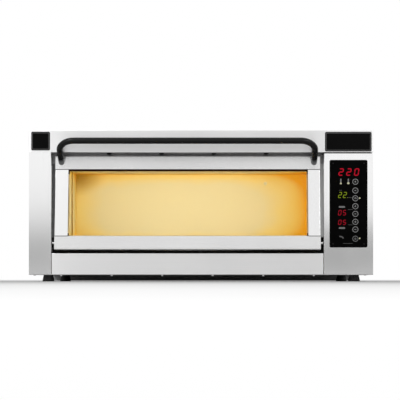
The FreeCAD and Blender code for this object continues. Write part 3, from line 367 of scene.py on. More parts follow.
set_out("soffit_screws", screw_head, (along_front(SOFFIT_ENDS, SOFFIT_INSET, soffit, SOFFIT_COUNT),),
        screw_oxide, "oven_body", size=SOFFIT_SCREW_SIZE)
set_out("fascia_nuts", dome_nut, (along_front(NUT_ENDS, NUT_INSET, tray_bottom, NUT_COUNT),),
        nut_glint_pale, "oven_body")
set_out("body_screws", screw_head, (
    along_front(POST_ENDS, EDGE, tray_bottom, len(POST_ENDS)),
    ((left + EDGE, back, high), (right - EDGE, back, high), REAR_COUNT, BACKWARD),
    ((left + EDGE, back, low), (right - EDGE, back, low), REAR_COUNT, BACKWARD),
    ((right, front + SIDE_INSET, low), (right, front + SIDE_INSET, high), SIDE_COUNT, RIGHTWARD),
    ((right, back - EDGE, low), (right, back - EDGE, high), SIDE_COUNT, RIGHTWARD),
    ((left, back - EDGE, low), (left, back - EDGE, high), SIDE_COUNT, LEFTWARD),
    ((right, front + LID_FRONT, lid), (right, back - LID_BACK, lid), LID_COUNT, RIGHTWARD),
    ((left, front + LID_FRONT, lid), (left, back - LID_BACK, lid), LID_COUNT, LEFTWARD),
), screw_zinc, "oven_body")

# Louvre hoods
# Each ventilation slot is pressed out of the sheet, so a lip stands over it and sheds what drips from above.
# The hoods are of the same steel as the covers that they are pressed from.

HOOD_LENGTH = 0.070
HOOD_HEIGHT = 0.009
HOOD_RISE = 0.005
HOOD_SHEET = 0.0012
HOOD_STEPS = 14
HOOD_ROWS = 5
HOOD_SQUARENESS = 4
SLOT_PITCH = 0.014
SLOT_COUNT = 9
LOWEST_SLOT = 0.250
SIDE_SLOTS = 0.200
REAR_SLOTS = 0.065

hood_shape = bmesh.new()
grid = []
for row in range(HOOD_ROWS + 1):
    turn = math.pi/2*row/HOOD_ROWS
    line = []
    for step in range(HOOD_STEPS + 1):
        share = 2*step/HOOD_STEPS - 1
        rise = HOOD_RISE*math.sin(turn)*(1 - share**HOOD_SQUARENESS)
        line.append(hood_shape.verts.new((share*HOOD_LENGTH/2, HOOD_HEIGHT*math.cos(turn), rise)))
    grid.append(line)
for upper, lower in zip(grid, grid[1:]):
    for step in range(HOOD_STEPS):
        hood_shape.faces.new((lower[step], lower[step + 1], upper[step + 1], upper[step]))
bmesh.ops.solidify(hood_shape, geom=hood_shape.faces[:], thickness=HOOD_SHEET)
bmesh.ops.recalc_face_normals(hood_shape, faces=hood_shape.faces[:])
hood = bpy.data.meshes.new("louvre_hood")
hood_shape.to_mesh(hood)
hood_shape.free()
highest = LOWEST_SLOT + SLOT_PITCH*(SLOT_COUNT - 1)
set_out("louvre_hoods", hood, (
    ((right, back - SIDE_SLOTS, LOWEST_SLOT), (right, back - SIDE_SLOTS, highest), SLOT_COUNT, RIGHTWARD),
    ((right - REAR_SLOTS, back, LOWEST_SLOT), (right - REAR_SLOTS, back, highest), SLOT_COUNT, BACKWARD),
), side_steel, "oven_body")

# Mouth frame
# Folded steel bars round the chamber's mouth, with the inclined face that the door closes on.
# Their tones are painted shade of the gaps round the door: the left bar darker than the right as the shaded
# side, both painted black beside the hinge, the top bar grey and the sill near black.

HINGE_SHADE_BLACK = grey(0.006)
HINGE_SHADE_TOP = 0.137
HINGE_SHADE_FADE = 0.004


def overlaid(material, colour, kept):
    """Lays a colour over a finish, except where a mask called kept is one."""
    tree = material.node_tree
    shader = tree.nodes["Principled BSDF"]
    finish = shader.inputs["Base Color"].links[0].from_socket
    feed(tree, shader, {"Base Color": blended(tree, kept, (*colour, 1), finish)})


def paint_shade_below(material, height, fade):
    """Paints a finish black below a height, over a short fade, as painted shade."""
    tree = material.node_tree
    heights = add_node(tree, "ShaderNodeSeparateXYZ", {"Vector": object_place(tree)})
    overlaid(material, HINGE_SHADE_BLACK, ranged(tree, heights.outputs["Z"], (height - fade, height)))


# The left bar is painted darker than the right as its shaded side of the gap, and both are painted black
# beside the hinge as shade.
left_bar_shaded_steel = brushed("left_bar_shaded_steel", grey(0.06), grey(0.12), rough=(0.30, 0.40), grain=UPRIGHT)
right_bar_lit_steel = brushed("right_bar_lit_steel", grey(0.27), grey(0.40), rough=(0.30, 0.40), grain=UPRIGHT)
paint_shade_below(left_bar_shaded_steel, HINGE_SHADE_TOP, HINGE_SHADE_FADE)
paint_shade_below(right_bar_lit_steel, HINGE_SHADE_TOP, HINGE_SHADE_FADE)
# The top bar and the sill are painted dark as shade of the gaps above and below the door.
top_bar_shaded_steel = brushed("top_bar_shaded_steel", grey(0.18), grey(0.29), rough=(0.35, 0.45), grain=LENGTHWISE)
sill_shade_black = brushed("sill_shade_black", (0.010, 0.009, 0.008), (0.025, 0.023, 0.021), rough=(0.50, 0.60),
                     grain=LENGTHWISE)
dress(left_bar_shaded_steel, "mouth_left_bar")
dress(right_bar_lit_steel, "mouth_right_bar")
dress(top_bar_shaded_steel, "mouth_top_bar")
dress(sill_shade_black, "deck_sill")

# Chamber lining
# Sheets of steel joined into a box, coloured with painted warm lamplight: straw in the middle of each wall,
# deepening to amber at its rim as painted shade where the walls meet.
# A folded joint stands up on each side wall, and one upper corner of the back has painted shade.

STRAW = (0.83, 0.765, 0.48)
HONEY = (0.90, 0.75, 0.29)
GOLD = (0.92, 0.68, 0.16)
AMBER = (0.92, 0.49, 0.008)
CORNER_SHADE = (0.41, 0.235, 0.003)
HONEY_AT = 0.27
GOLD_AT = 0.62
AMBER_AT = 0.96
TINT_SPREAD = (0.24, 0.90)
TINT_SHIFT = 0.036
DRIFT_SCALE = 9
DRIFT_SHARE = 0.25
BACK_REACH = (0.456, 1.0, 0.136)
LEFT_REACH = (1.0, 0.235, 0.125)
RIGHT_REACH = (1.0, 0.22, 0.125)
CEILING_REACH = (0.46, 0.212, 1.0)
CORNER_SHADE_REACH = (0.110, 1.0, 0.085)
JOINT_DEPTH = 0.3445
JOINT_RISE = 0.0045
JOINT_SHEET = 0.0015


def lamplight_spread():
    """Nought in the middle of a wall and one at its rim, with an uneven edge."""
    tree = new_tree("ShaderNodeTree", "lamplight_spread", {"Middle": "Vector", "Reach": "Vector"}, {"Tint": "Float"})
    inside = tree.nodes.new("NodeGroupInput")
    place = object_place(tree)
    offset = vector_math(tree, "SUBTRACT", place, inside.outputs["Middle"])
    share = vector_math(tree, "DIVIDE", offset, inside.outputs["Reach"])
    squared = vector_math(tree, "MULTIPLY", share, share)
    rim = vector_math(tree, "DOT_PRODUCT", squared, squared)
    drift = add_node(tree, "ShaderNodeTexNoise", {"Vector": place, "Scale": DRIFT_SCALE})
    edge = add_node(tree, "ShaderNodeMath", {0: drift.outputs["Fac"], 1: DRIFT_SHARE, 2: rim},
                    operation="MULTIPLY_ADD")
    add_node(tree, "NodeGroupOutput", {"Tint": ranged(tree, edge.outputs["Value"], TINT_SPREAD)})
    return tree


TINT = lamplight_spread()


def paint_lamplight(name, node, middle, reach):
    """Steel painted straw about a middle for warm lamplight, through honey and gold to amber at the rim as
    painted shade.
    """
    material = grained(name, STRAW, AMBER, rough=(0.45, 0.6), grain=UPRIGHT, sheen=0.1)
    tree = material.node_tree
    tint = add_node(tree, "ShaderNodeGroup", {"Middle": middle, "Reach": reach}, node_tree=TINT)
    tones = add_node(tree, "ShaderNodeValToRGB", {"Fac": tint.outputs["Tint"]})
    stops = tones.color_ramp.elements
    stops[0].color = (*STRAW, 1)
    stops[1].color = (*AMBER, 1)
    stops[1].position = AMBER_AT
    stops.new(HONEY_AT).color = (*HONEY, 1)
    stops.new(GOLD_AT).color = (*GOLD, 1)
    feed(tree, tree.nodes["Principled BSDF"], {"Base Color": tones.outputs["Color"]})
    dress(material, node)
    return material


def paint_corner_shade(material, corner):
    """Paints shade softly about one corner of a tinted sheet."""
    tree = material.node_tree
    offset = vector_math(tree, "SUBTRACT", object_place(tree), corner)
    apart = vector_math(tree, "LENGTH", vector_math(tree, "DIVIDE", offset, CORNER_SHADE_REACH))
    overlaid(material, CORNER_SHADE, ranged(tree, apart, (0, 1), interpolation_type="SMOOTHSTEP"))


def new_piece(name, shape, material, body):
    """One mesh, made from a bmesh, that rides on a body."""
    bmesh.ops.recalc_face_normals(shape, faces=shape.faces[:])
    mesh = bpy.data.meshes.new(name)
    shape.to_mesh(mesh)
    shape.free()
    mesh.materials.append(material)
    piece = bpy.data.objects.new(name, mesh)
    bpy.context.scene.collection.objects.link(piece)
    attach(piece, body)


lining_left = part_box("chamber_left_wall")[1].x
lining_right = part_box("chamber_right_wall")[0].x
lining_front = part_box("chamber_ceiling")[0].y
lining_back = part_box("chamber_back_wall")[0].y
lining_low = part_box("hearth_stone_left")[1].z
lining_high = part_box("chamber_ceiling")[0].z
tint_x = (lining_left + lining_right)/2 - TINT_SHIFT
tint_y = (lining_front + lining_back)/2
tint_z = (lining_low + lining_high)/2
tinted_back = paint_lamplight("tinted_back", "chamber_back_wall", (tint_x, lining_back, tint_z), BACK_REACH)
# The back's upper left corner gets painted shade.
paint_corner_shade(tinted_back, (lining_left, lining_back, lining_high))
paint_lamplight("tinted_left", "chamber_left_wall", (lining_left, tint_y, tint_z), LEFT_REACH)
paint_lamplight("tinted_right", "chamber_right_wall", (lining_right, tint_y, tint_z), RIGHT_REACH)
paint_lamplight("tinted_ceiling", "chamber_ceiling", (tint_x, tint_y, lining_high), CEILING_REACH)

joint_brown = grained("joint_brown", (0.28, 0.16, 0.012), (0.44, 0.27, 0.03), rough=(0.5, 0.65),
                      grain=UPRIGHT)
joints = bmesh.new()
joint_front = front + JOINT_DEPTH
joint_back = joint_front + JOINT_SHEET
for wall, inward in ((lining_left, 1), (lining_right, -1)):
    edge = wall + inward*JOINT_RISE
    section = ((wall, joint_front), (edge, joint_front), (edge, joint_back), (wall, joint_back))
    rings = [[joints.verts.new((across, depth, height)) for across, depth in section]
             for height in (lining_low, lining_high)]
    joints.faces.new(rings[0])
    joints.faces.new(reversed(rings[1]))
    for side in range(len(section)):
        after = (side + 1) % len(section)
        joints.faces.new((rings[0][side], rings[1][side], rings[1][after], rings[0][after]))
new_piece("lining_joints", joints, joint_brown, "oven_body")

# Hearth
# Two slabs of pressed fireclay on a welded grid, which store the heat and give it off evenly.
# The stone is pale and porous, and browned by use.

hearth_stone = grained("hearth_stone", (0.38, 0.27, 0.17), (0.66, 0.53, 0.37), rough=(0.85, 0.95),
                       grain=even(90), relief=0.0006, cloud=8)
hearth_steel = grained("hearth_steel", (0.09, 0.085, 0.08), (0.15, 0.14, 0.13), rough=(0.5, 0.65),
                       grain=even(120), metallic=0.8)
dress(hearth_stone, "hearth_stone_left", "hearth_stone_right")
dress(hearth_steel, "hearth_support")

# Heating elements
# Resistance wire in magnesia inside a rod of heat-resisting alloy, bent to and fro above and below.
# The rods are oxidised to a dull brown-black.

element_alloy = grained("element_alloy", (0.05, 0.042, 0.036), (0.13, 0.10, 0.08), rough=(0.55, 0.7),
                        grain=even(300), relief=0.0001, metallic=0.5)
dress(element_alloy, "top_elements", "bottom_elements")

# Insulation
# Slabs of mineral wool packed between the chamber and the skins.
# The fibres are pale yellow and lie in loose layers.

LAYERED = (60, 260, 260)
mineral_wool = grained("mineral_wool", (0.55, 0.49, 0.33), (0.86, 0.81, 0.64), rough=(0.95, 1.0),
                       grain=LAYERED, relief=0.002)
dress(mineral_wool, "insulation")

# Chamber lamp and probe
# A spun steel cup in the right wall holds a small halogen bulb behind a clear disc.
# The probe is a sheathed rod through the back wall, painted straw as the lining is, for the warm lamplight.

DISC_INDEX = 1.45
BULB_GLOW = (1.0, 0.72, 0.36)
BULB_STRENGTH = 12
GLOW_WIDTH = 0.74
GLOW_HEIGHT = 0.05
GLOW_DEPTH = 0.12
GLOW_DROP = 0.04
GLOW_POWER = 1.06
GLOW_COLOUR = (1.0, 0.96, 0.85)
SPUN = (500, 20, 20)
SHEATH = (900, 40, 900)


def clear(name, index):
    """Clear glass of one index, which a coating lowers."""
    material = bpy.data.materials.new(name)
    material.use_nodes = True
    feed(material.node_tree, material.node_tree.nodes["Principled BSDF"], {
        "Base Color": (1, 1, 1, 1), "Roughness": 0, "Transmission Weight": 1, "IOR": index})
    return material


def soft_lamp(name, place, aim, width, height, power, colour=(1, 1, 1)):
    """A rectangle of light that shines from a place towards an aim."""
    light = bpy.data.lights.new(name, "AREA")
    light.shape = "RECTANGLE"
    light.size = width
    light.size_y = height
    light.energy = power
    light.color = colour
    lamp = bpy.data.objects.new(name, light)
    lamp.location = place
    lamp.rotation_euler = (Vector(aim) - Vector(place)).to_track_quat("-Z", "Y").to_euler()
    bpy.context.scene.collection.objects.link(lamp)
    return lamp


spun_steel = grained("spun_steel", grey(0.60), grey(0.78), rough=(0.15, 0.25), grain=SPUN, metallic=1.0)
# The probe's straw colour is painted warm lamplight.
probe_steel = grained("probe_steel", (0.82, 0.76, 0.46), (0.90, 0.84, 0.52), rough=(0.4, 0.5), grain=SHEATH)
bulb_glass = grained("bulb_glass", (0.9, 0.7, 0.45), (1.0, 0.85, 0.6), rough=(0.1, 0.2), grain=even(60))
feed(bulb_glass.node_tree, bulb_glass.node_tree.nodes["Principled BSDF"], {
    "Emission Color": (*BULB_GLOW, 1), "Emission Strength": BULB_STRENGTH})
dress(spun_steel, "lamp_housing")
dress(probe_steel, "temperature_probe")
dress(clear("lamp_disc", DISC_INDEX), "lamp_lens")
dress(bulb_glass, "lamp_bulb")
wall_low, wall_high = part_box("chamber_back_wall")
wall_middle = (wall_low + wall_high)/2
glow = soft_lamp("chamber_glow", (wall_middle.x, front + GLOW_DEPTH, lining_high - GLOW_DROP),
                 (wall_middle.x, wall_low.y, wall_middle.z), GLOW_WIDTH, GLOW_HEIGHT, GLOW_POWER, GLOW_COLOUR)
glow.visible_camera = False
glow.visible_glossy = False
glow.visible_transmission = False

# Electrics
# Contactors and a terminal block on a zinc-coated wall, apart from the hot side.
# Their housings are moulded in dark grey plastic, and the control board is green laminate.

housing_plastic = grained("housing_plastic", (0.10, 0.10, 0.11), (0.17, 0.17, 0.18), rough=(0.45, 0.6),
                          grain=even(500), relief=0.0001)
board_laminate = grained("board_laminate", (0.02, 0.12, 0.05), (0.05, 0.22, 0.10), rough=(0.3, 0.45),
                         grain=even(220))
dress(tray_zinc, "compartment_wall")
dress(housing_plastic, "contactors", "terminal_block")
dress(board_laminate, "control_board")

# Control panel
# A plate of glossy black acrylic over the control box's cut-out, with its marks printed on.
# Four small black screws hold its corners.

PANEL_SCREW_INSET = 0.0105
PANEL_SCREW_SIZE = 0.6
FORWARD = (0, -1, 0)
panel_black = grained("panel_black", grey(0.001), grey(0.003), rough=(0.10, 0.18), grain=even(40),
                      sheen=0.01)
dress(panel_black, "control_panel_plate")
panel_low, panel_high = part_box("control_panel_plate")
face = panel_low.y
screw_left = panel_low.x + PANEL_SCREW_INSET
screw_right = panel_high.x - PANEL_SCREW_INSET
set_out("panel_screws", screw_head, tuple(
    ((screw_left, face, height), (screw_right, face, height), 2, FORWARD)
    for height in (panel_low.z + PANEL_SCREW_INSET, panel_high.z - PANEL_SCREW_INSET)
), screw_oxide, "oven_body", size=PANEL_SCREW_SIZE)

# Panel printing
# Fine grey lines from the displays to their keys, two thermometers, a heat bow and bare label bars.
# The marks are screen-printed, so they stand hardly proud of the plate.

PRINT_FILM = 0.0001
BAR_SIDES = 16
BOW_STEPS = 20
THERMOMETERS = (0.4222, 0.4448)
THERMOMETER_TOP = 0.3105
THERMOMETER_BULB = 0.2966
THERMOMETER_WIDTH = 0.0040
LABEL_X = 0.4255
LABEL_HEIGHTS = (0.2250, 0.1613)
LABEL_SIZE = (0.0190, 0.0052)
TIMER_LINE = (0.4207, 0.2751, 0.009)
KEY_LINES = ((0.4510, 0.2531, 0.013), (0.4510, 0.2171, 0.015), (0.4510, 0.1709, 0.015))
FOOT_LINE = (0.4435, 0.1148, 0.029)
LINE_WIDTH = 0.0010
BOW_CENTRE = (0.4205, 0.1260)
BOW_RADII = (0.0080, 0.0118)
BOW_ARC = (22, 105)


def stamp(shape, outline, surface, film=PRINT_FILM):
    """Adds a flat mark to a shape: an outline across and up, on a surface that faces forward."""
    rear = [shape.verts.new((across, surface, up)) for across, up in outline]
    fore = [shape.verts.new((across, surface - film, up)) for across, up in outline]
    shape.faces.new(fore)
    shape.faces.new(reversed(rear))
    count = len(outline)
    for corner in range(count):
        after = (corner + 1) % count
        shape.faces.new((rear[corner], rear[after], fore[after], fore[corner]))


def bar(across, up, length, height):
    """A bar with half-round ends, about its middle."""
    radius = min(length, height)/2
    reach = max(length - height, 0)/2
    rise = max(height - length, 0)/2
    outline = []
    for step in range(BAR_SIDES):
        angle = 2*math.pi*(step + 0.5)/BAR_SIDES
        outline.append((across + math.copysign(reach, math.cos(angle)) + radius*math.cos(angle),
                        up + math.copysign(rise, math.sin(angle)) + radius*math.sin(angle)))
    return outline


def bow(across, up, inner, outer, first, last):
    """Part of a ring between two angles in degrees."""
    steps = [math.radians(first + (last - first)*step/BOW_STEPS) for step in range(BOW_STEPS + 1)]
    return ([(across + outer*math.cos(angle), up + outer*math.sin(angle)) for angle in steps]
            + [(across + inner*math.cos(angle), up + inner*math.sin(angle)) for angle in reversed(steps)])


print_grey = grained("print_grey", grey(0.10), grey(0.18), rough=(0.5, 0.6), grain=even(900))
faint_grey = grained("faint_grey", grey(0.05), grey(0.09), rough=(0.5, 0.6), grain=even(900))
marks = bmesh.new()
stem_middle = (THERMOMETER_TOP + THERMOMETER_BULB)/2
for across in THERMOMETERS:
    stamp(marks, bar(across, stem_middle, THERMOMETER_WIDTH, THERMOMETER_TOP - THERMOMETER_BULB), face)
for up in LABEL_HEIGHTS:
    stamp(marks, bar(LABEL_X, up, *LABEL_SIZE), face)
new_piece("panel_marks", marks, print_grey, "oven_body")

lines = bmesh.new()
for across, up, length in (TIMER_LINE, *KEY_LINES, FOOT_LINE):
    stamp(lines, bar(across, up, length, LINE_WIDTH), face)
stamp(lines, bow(*BOW_CENTRE, *BOW_RADII, *BOW_ARC), face)
new_piece("panel_lines", lines, faint_grey, "oven_body")

# Displays and lamps
# Slanted seven-segment figures, one of three digits and three of two, and four small lamps.
# They shine through the plate, red, green and pale yellow, so each is made as a thin mark on its face.

SEGMENTS = {"0": "abcdef", "2": "abged", "5": "afgcd"}
SLANT = 0.16
GLOW_LEAST = 0.7
UNLIT_SHARES = (0.05, 0.12)
LAMP = 0.0046
NEARLY_ROUND = 0.999
CONE_HALF_WIDTH = 0.8*LAMP
CONE_FOOT = THERMOMETER_BULB - 0.6*LAMP
CONE_TOP = THERMOMETER_BULB + 0.8*LAMP
BULB_SIZE = (1.6*LAMP, 1.2*LAMP)
KEY_LAMPS = ((0.4793, 0.2516), (0.4790, 0.1302))


def dimmed(colour, share):
    """A colour at a share of its strength."""
    return tuple(share*part for part in colour)


def glowing(name, colour):
    """A lamp's face, which glows a little unevenly."""
    dark, light = (dimmed(colour, share) for share in UNLIT_SHARES)
    material = grained(name, dark, light, rough=(0.4, 0.5), grain=even(300), sheen=0)
    tree = material.node_tree
    unevenness = tree.nodes["surface"].outputs["Grain"]
    glow_tone = blended(tree, unevenness, (*dimmed(colour, GLOW_LEAST), 1), (*colour, 1))
    feed(tree, tree.nodes["Principled BSDF"], {"Emission Color": glow_tone, "Emission Strength": 1})
    return material


def segment_bar(start, end, width):
    """A bar with pointed ends between two places."""
    first = Vector(start)
    last = Vector(end)
    along = (last - first).normalized()*width/2
    aside = Vector((-along.y, along.x))
    return (first, first + along + aside, last - along + aside,
            last, last - along - aside, first + along - aside)


def figures(name, digits, glow, left_end, foot, width, height, pitch, stroke, point_gap=None):
    """Slanted seven-segment digits as one piece, with a decimal point after the last if asked."""
    shape = bmesh.new()
    middle = height/2
    corners = {"a": ((0, height), (width, height)), "b": ((width, height), (width, middle)),
               "c": ((width, middle), (width, 0)), "d": ((0, 0), (width, 0)), "e": ((0, middle), (0, 0)),
               "f": ((0, height), (0, middle)), "g": ((0, middle), (width, middle))}
    for place, digit in enumerate(digits):
        outlines = [segment_bar(*corners[segment], stroke) for segment in SEGMENTS[digit]]
        if point_gap and place == len(digits) - 1:
            dot = bar(width + point_gap, 0, stroke, NEARLY_ROUND*stroke)
            outlines.append([Vector(point) for point in dot])
        start = left_end + place*pitch
        for outline in outlines:
            stamp(shape, [(start + point.x + SLANT*point.y, foot + point.y) for point in outline], face)
    new_piece(name, shape, glow, "oven_body")


display_plastic = grained("display_plastic", (0.01, 0.006, 0.006), (0.03, 0.012, 0.012), rough=(0.2, 0.3),
                          grain=even(60))
dress(display_plastic, "display_modules")
red_glow = glowing("red_glow", (0.46, 0.008, 0.022))
dim_red_glow = glowing("dim_red_glow", (0.29, 0.007, 0.017))
green_glow = glowing("green_glow", (0.22, 0.29, 0.015))
lamp_glow = glowing("lamp_glow", (0.54, 0.53, 0.36))
figures("temperature_figures", "220", red_glow, left_end=0.4160, foot=0.3208,
        width=0.0112, height=0.0192, pitch=0.0234, stroke=0.0034)
figures("timer_figures", "22", green_glow, left_end=0.4146, foot=0.2530,
        width=0.0080, height=0.0160, pitch=0.0146, stroke=0.0020, point_gap=0.0050)
figures("top_heat_figures", "05", dim_red_glow, left_end=0.4144, foot=0.2004,
        width=0.0074, height=0.0144, pitch=0.0140, stroke=0.0024)
figures("bottom_heat_figures", "05", dim_red_glow, left_end=0.4144, foot=0.1720,
        width=0.0074, height=0.0132, pitch=0.0140, stroke=0.0024)

lamps = bmesh.new()
cone_x, bulb_x = THERMOMETERS
cone = ((cone_x - CONE_HALF_WIDTH, CONE_FOOT), (cone_x + CONE_HALF_WIDTH, CONE_FOOT), (cone_x, CONE_TOP))
stamp(lamps, cone, face, 2*PRINT_FILM)
stamp(lamps, bar(bulb_x, THERMOMETER_BULB, *BULB_SIZE), face, 2*PRINT_FILM)
for across, up in KEY_LAMPS:
    stamp(lamps, bar(across, up, LAMP, NEARLY_ROUND*LAMP), face)
new_piece("panel_lamps", lamps, lamp_glow, "oven_body")

# Keys
# Eight round push buttons moulded in black plastic, with a dished middle and a printed ring and sign.
# The ring and the sign ride on their button, and those of the power key are duller.

RING_RADII = (0.0074, 0.0088)
DISH_DEPTH = 0.00032
SIGN = 0.0055
STROKE = 0.0014
TURN_ARC = (-60, 210)
POWER_ARC = (120, 420)
KEY_SIGNS = {
    "key_temperature_up": "plus", "key_temperature_down": "minus", "key_select": "turn",
    "key_top_heat_up": "plus", "key_top_heat_down": "minus",
    "key_bottom_heat_up": "plus", "key_bottom_heat_down": "minus", "key_power": "power",
}
key_plastic = grained("key_plastic", grey(0.003), grey(0.008), rough=(0.3, 0.42), grain=even(900),
                      sheen=0.1)
ring_grey = grained("ring_grey", grey(0.21), grey(0.30), rough=(0.45, 0.55), grain=even(900))
for key, sign in KEY_SIGNS.items():
    dress(key_plastic, key)
    key_low, key_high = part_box(key)
    across = (key_low.x + key_high.x)/2
    up = (key_low.z + key_high.z)/2
    dish = key_low.y + DISH_DEPTH
    shape = bmesh.new()
    stamp(shape, bow(across, up, *RING_RADII, 0, 180), key_low.y)
    stamp(shape, bow(across, up, *RING_RADII, 180, 360), key_low.y)
    if sign in ("plus", "minus"):
        stamp(shape, bar(across, up, SIGN, STROKE), dish)
    if sign == "plus":
        stamp(shape, bar(across, up, STROKE, SIGN), dish, 2*PRINT_FILM)
    if sign == "turn":
        stamp(shape, bow(across, up, SIGN/2 - STROKE, SIGN/2, *TURN_ARC), dish)
    if sign == "power":
        stamp(shape, bow(across, up, SIGN/2 - STROKE, SIGN/2, *POWER_ARC), dish)
        stamp(shape, bar(across, up + SIGN/3, STROKE, SIGN/2), dish, 2*PRINT_FILM)
    print_tone = print_grey if sign == "power" else ring_grey
    new_piece(key + "_print", shape, print_tone, key.removeprefix("key_") + "_key")

# Door frame
# Rails and stiles folded in stainless sheet: the rails brushed along, the stiles upright, both toned darker
# as painted shade.
# An inner frame closes the back, its gold painted for the chamber lamp's light, and the whole leans back on
# its hinge.

# The rails and stiles are darker copies of the skin's steel, as painted shade; the rails are darkest, for the
# handle's shadow and reflection.
rail_shaded_steel = brushed("rail_shaded_steel", grey(0.76), grey(0.88), rough=(0.22, 0.27), grain=LENGTHWISE,
                     turn=ACROSS_TANGENT)
stile_shaded_steel = brushed("stile_shaded_steel", grey(0.77), grey(0.87), rough=(0.18, 0.24), grain=UPRIGHT)
# The inner frame's bright gold is painted light from the chamber lamp.
frame_lamplit_gold = brushed("frame_lamplit_gold", (0.84, 0.66, 0.32), (0.94, 0.78, 0.40), rough=(0.35, 0.45),
                       grain=LENGTHWISE)
dress(rail_shaded_steel, "door_top_rail", "door_bottom_rail")
dress(stile_shaded_steel, "door_left_stile", "door_right_stile")
dress(frame_lamplit_gold, "door_inner_frame")

# Double glazing
# Two panes of toughened anti-glare glass on a spacer, set into the frame from behind, the spacer's pale gold
# painted for the chamber lamp's light.
# A black bead seals the outer pane under the top rail and in the corners, and is drawn dark there as painted
# shade too; a brown strip down its right side is painted shade of the stile's inner edge.

GLASS_INDEX = 1.12
DOOR_LEAN = math.radians(7)
DOOR_FACE = -0.0180
GLASS_FACE = -0.0165
WINDOW_LOW = 0.0190
WINDOW_HIGH = 0.2232
BEAD_TOP = 0.0056
BEAD_SIDE = 0.0018
BEAD_RISE = 0.0008
CORNER_WIDTH = 0.0036
CORNER_HEIGHT = 0.0085
SEAM = 0.0022
SEAM_FILM = 0.0001
LIP_SHADE = 0.0009


def oblong(first, low_end, second, high_end):
    """A rectangle between two places across and two heights."""
    sides = sorted((first, second))
    return (sides[0], low_end), (sides[1], low_end), (sides[1], high_end), (sides[0], high_end)


# The spacer's pale gold is painted light from the chamber lamp.
spacer_lamplit_gold = grained("spacer_lamplit_gold", (0.88, 0.68, 0.32), (0.96, 0.80, 0.42), rough=(0.35, 0.5),
                        grain=even(200), metallic=0.3)
# The bead is drawn black where shade also falls under the top rail and in the corners.
bead_shade_black = grained("bead_shade_black", (0.008, 0.002, 0.0005), (0.020, 0.006, 0.001), rough=(0.45, 0.6),
                      grain=even(600), sheen=0.03)
# This brown strip down the pane's right side is painted shade of the stile's inner edge.
right_edge_shade_brown = grained("right_edge_shade_brown", (0.26, 0.10, 0.015), (0.40, 0.17, 0.03), rough=(0.4, 0.55),
                         grain=even(600))
seam_shade = grained("seam_shade", grey(0.03), grey(0.06), rough=(0.5, 0.6), grain=even(600))
dress(clear("door_glass", GLASS_INDEX), "door_outer_glass", "door_inner_glass")
dress(spacer_lamplit_gold, "glass_spacer")
hinge_low, hinge_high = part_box("hinge_pins")
hinge_axis = (hinge_low + hinge_high)/2
in_door = Matrix.Translation((0, hinge_axis.y, hinge_axis.z)) @ Matrix.Rotation(-DOOR_LEAN, 4, "X")
door_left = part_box("door_left_stile")[0].x
door_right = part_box("door_right_stile")[1].x
window_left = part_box("door_left_stile")[1].x
window_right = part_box("door_right_stile")[0].x
bead_low = WINDOW_HIGH - BEAD_TOP
high_corner = bead_low - CORNER_HEIGHT
low_corner = WINDOW_LOW + CORNER_HEIGHT
bead = bmesh.new()
right_edge_shade = bmesh.new()
seams = bmesh.new()
stamp(bead, oblong(window_left, bead_low, window_right, WINDOW_HIGH), GLASS_FACE, BEAD_RISE)
for outer, inward, edge in ((window_left, 1, door_left), (window_right, -1, door_right)):
    corner = outer + inward*CORNER_WIDTH
    stamp(bead, oblong(outer, high_corner, corner, bead_low), GLASS_FACE, BEAD_RISE)
    stamp(bead, oblong(outer, WINDOW_LOW, corner, low_corner), GLASS_FACE, BEAD_RISE)
    for joint in (WINDOW_LOW, WINDOW_HIGH):
        stamp(seams, oblong(outer, joint - SEAM/2, edge, joint + SEAM/2), DOOR_FACE, SEAM_FILM)
right_shade_edge = window_right - BEAD_SIDE
stamp(right_edge_shade, oblong(right_shade_edge, low_corner, window_right, high_corner), GLASS_FACE, BEAD_RISE)
stamp(seams, oblong(window_left, WINDOW_HIGH, window_right, WINDOW_HIGH + LIP_SHADE), DOOR_FACE, SEAM_FILM)
for shape in (bead, right_edge_shade, seams):
    shape.transform(in_door)
new_piece("window_silicone", right_edge_shade, right_edge_shade_brown, "door")
new_piece("door_seams", seams, seam_shade, "door")
new_piece("window_bead", bead, bead_shade_black, "door")

# Door gasket
# A woven glass-fibre strip on the back of the door, round three sides, which closes on the mouth frame.
# It is dark, matt and a little fibrous.

gasket_weave = grained("gasket_weave", grey(0.015), grey(0.06), rough=(0.85, 0.95), grain=even(1500),
                       relief=0.0004)
dress(gasket_weave, "door_gasket")

# Handle
# One steel tube bent to a staple and stove-enamelled black, pushed over two sockets on the top rail.
# The enamel is satin, so the bar has a soft light line along its top, and its feet are painted grey near the
# rail as a painted reflection of the rail.

FOOT_REFLECTION_SPAN = (0.009, 0.021)
FOOT_REFLECTION_GREY = grey(0.16)
handle_enamel = grained("handle_enamel", grey(0.002), grey(0.005), rough=(0.22, 0.30), grain=even(600),
                        sheen=0.2)
handle_tree = handle_enamel.node_tree
outward = in_door.to_3x3() @ Vector(FORWARD)
rail_face = (in_door @ Vector((0, DOOR_FACE, 0))).dot(outward)
from_rail = vector_math(handle_tree, "DOT_PRODUCT", object_place(handle_tree), outward)
# The grey near the rail is a painted reflection of the bright top rail in the enamel.
overlaid(handle_enamel, FOOT_REFLECTION_GREY, ranged(handle_tree, from_rail, [rail_face + end for end in FOOT_REFLECTION_SPAN]))
dress(handle_enamel, "door_handle", "handle_sockets")

# Hinge
# Bright turned pins in zinc-plated blocks at the door's lower corners, running in blackened flanged bushes.
# The door swings down on them until it lies flat in front of the mouth.

TURNED = (20, 900, 900)
pin_steel = grained("pin_steel", grey(0.70), grey(0.85), rough=(0.12, 0.2), grain=TURNED, metallic=1.0)
bush_black = grained("bush_black", (0.012, 0.011, 0.010), (0.035, 0.033, 0.03), rough=(0.35, 0.5),
                     grain=even(400))
dress(pin_steel, "hinge_pins")
dress(tray_zinc, "hinge_blocks")
dress(bush_black, "hinge_bushes")

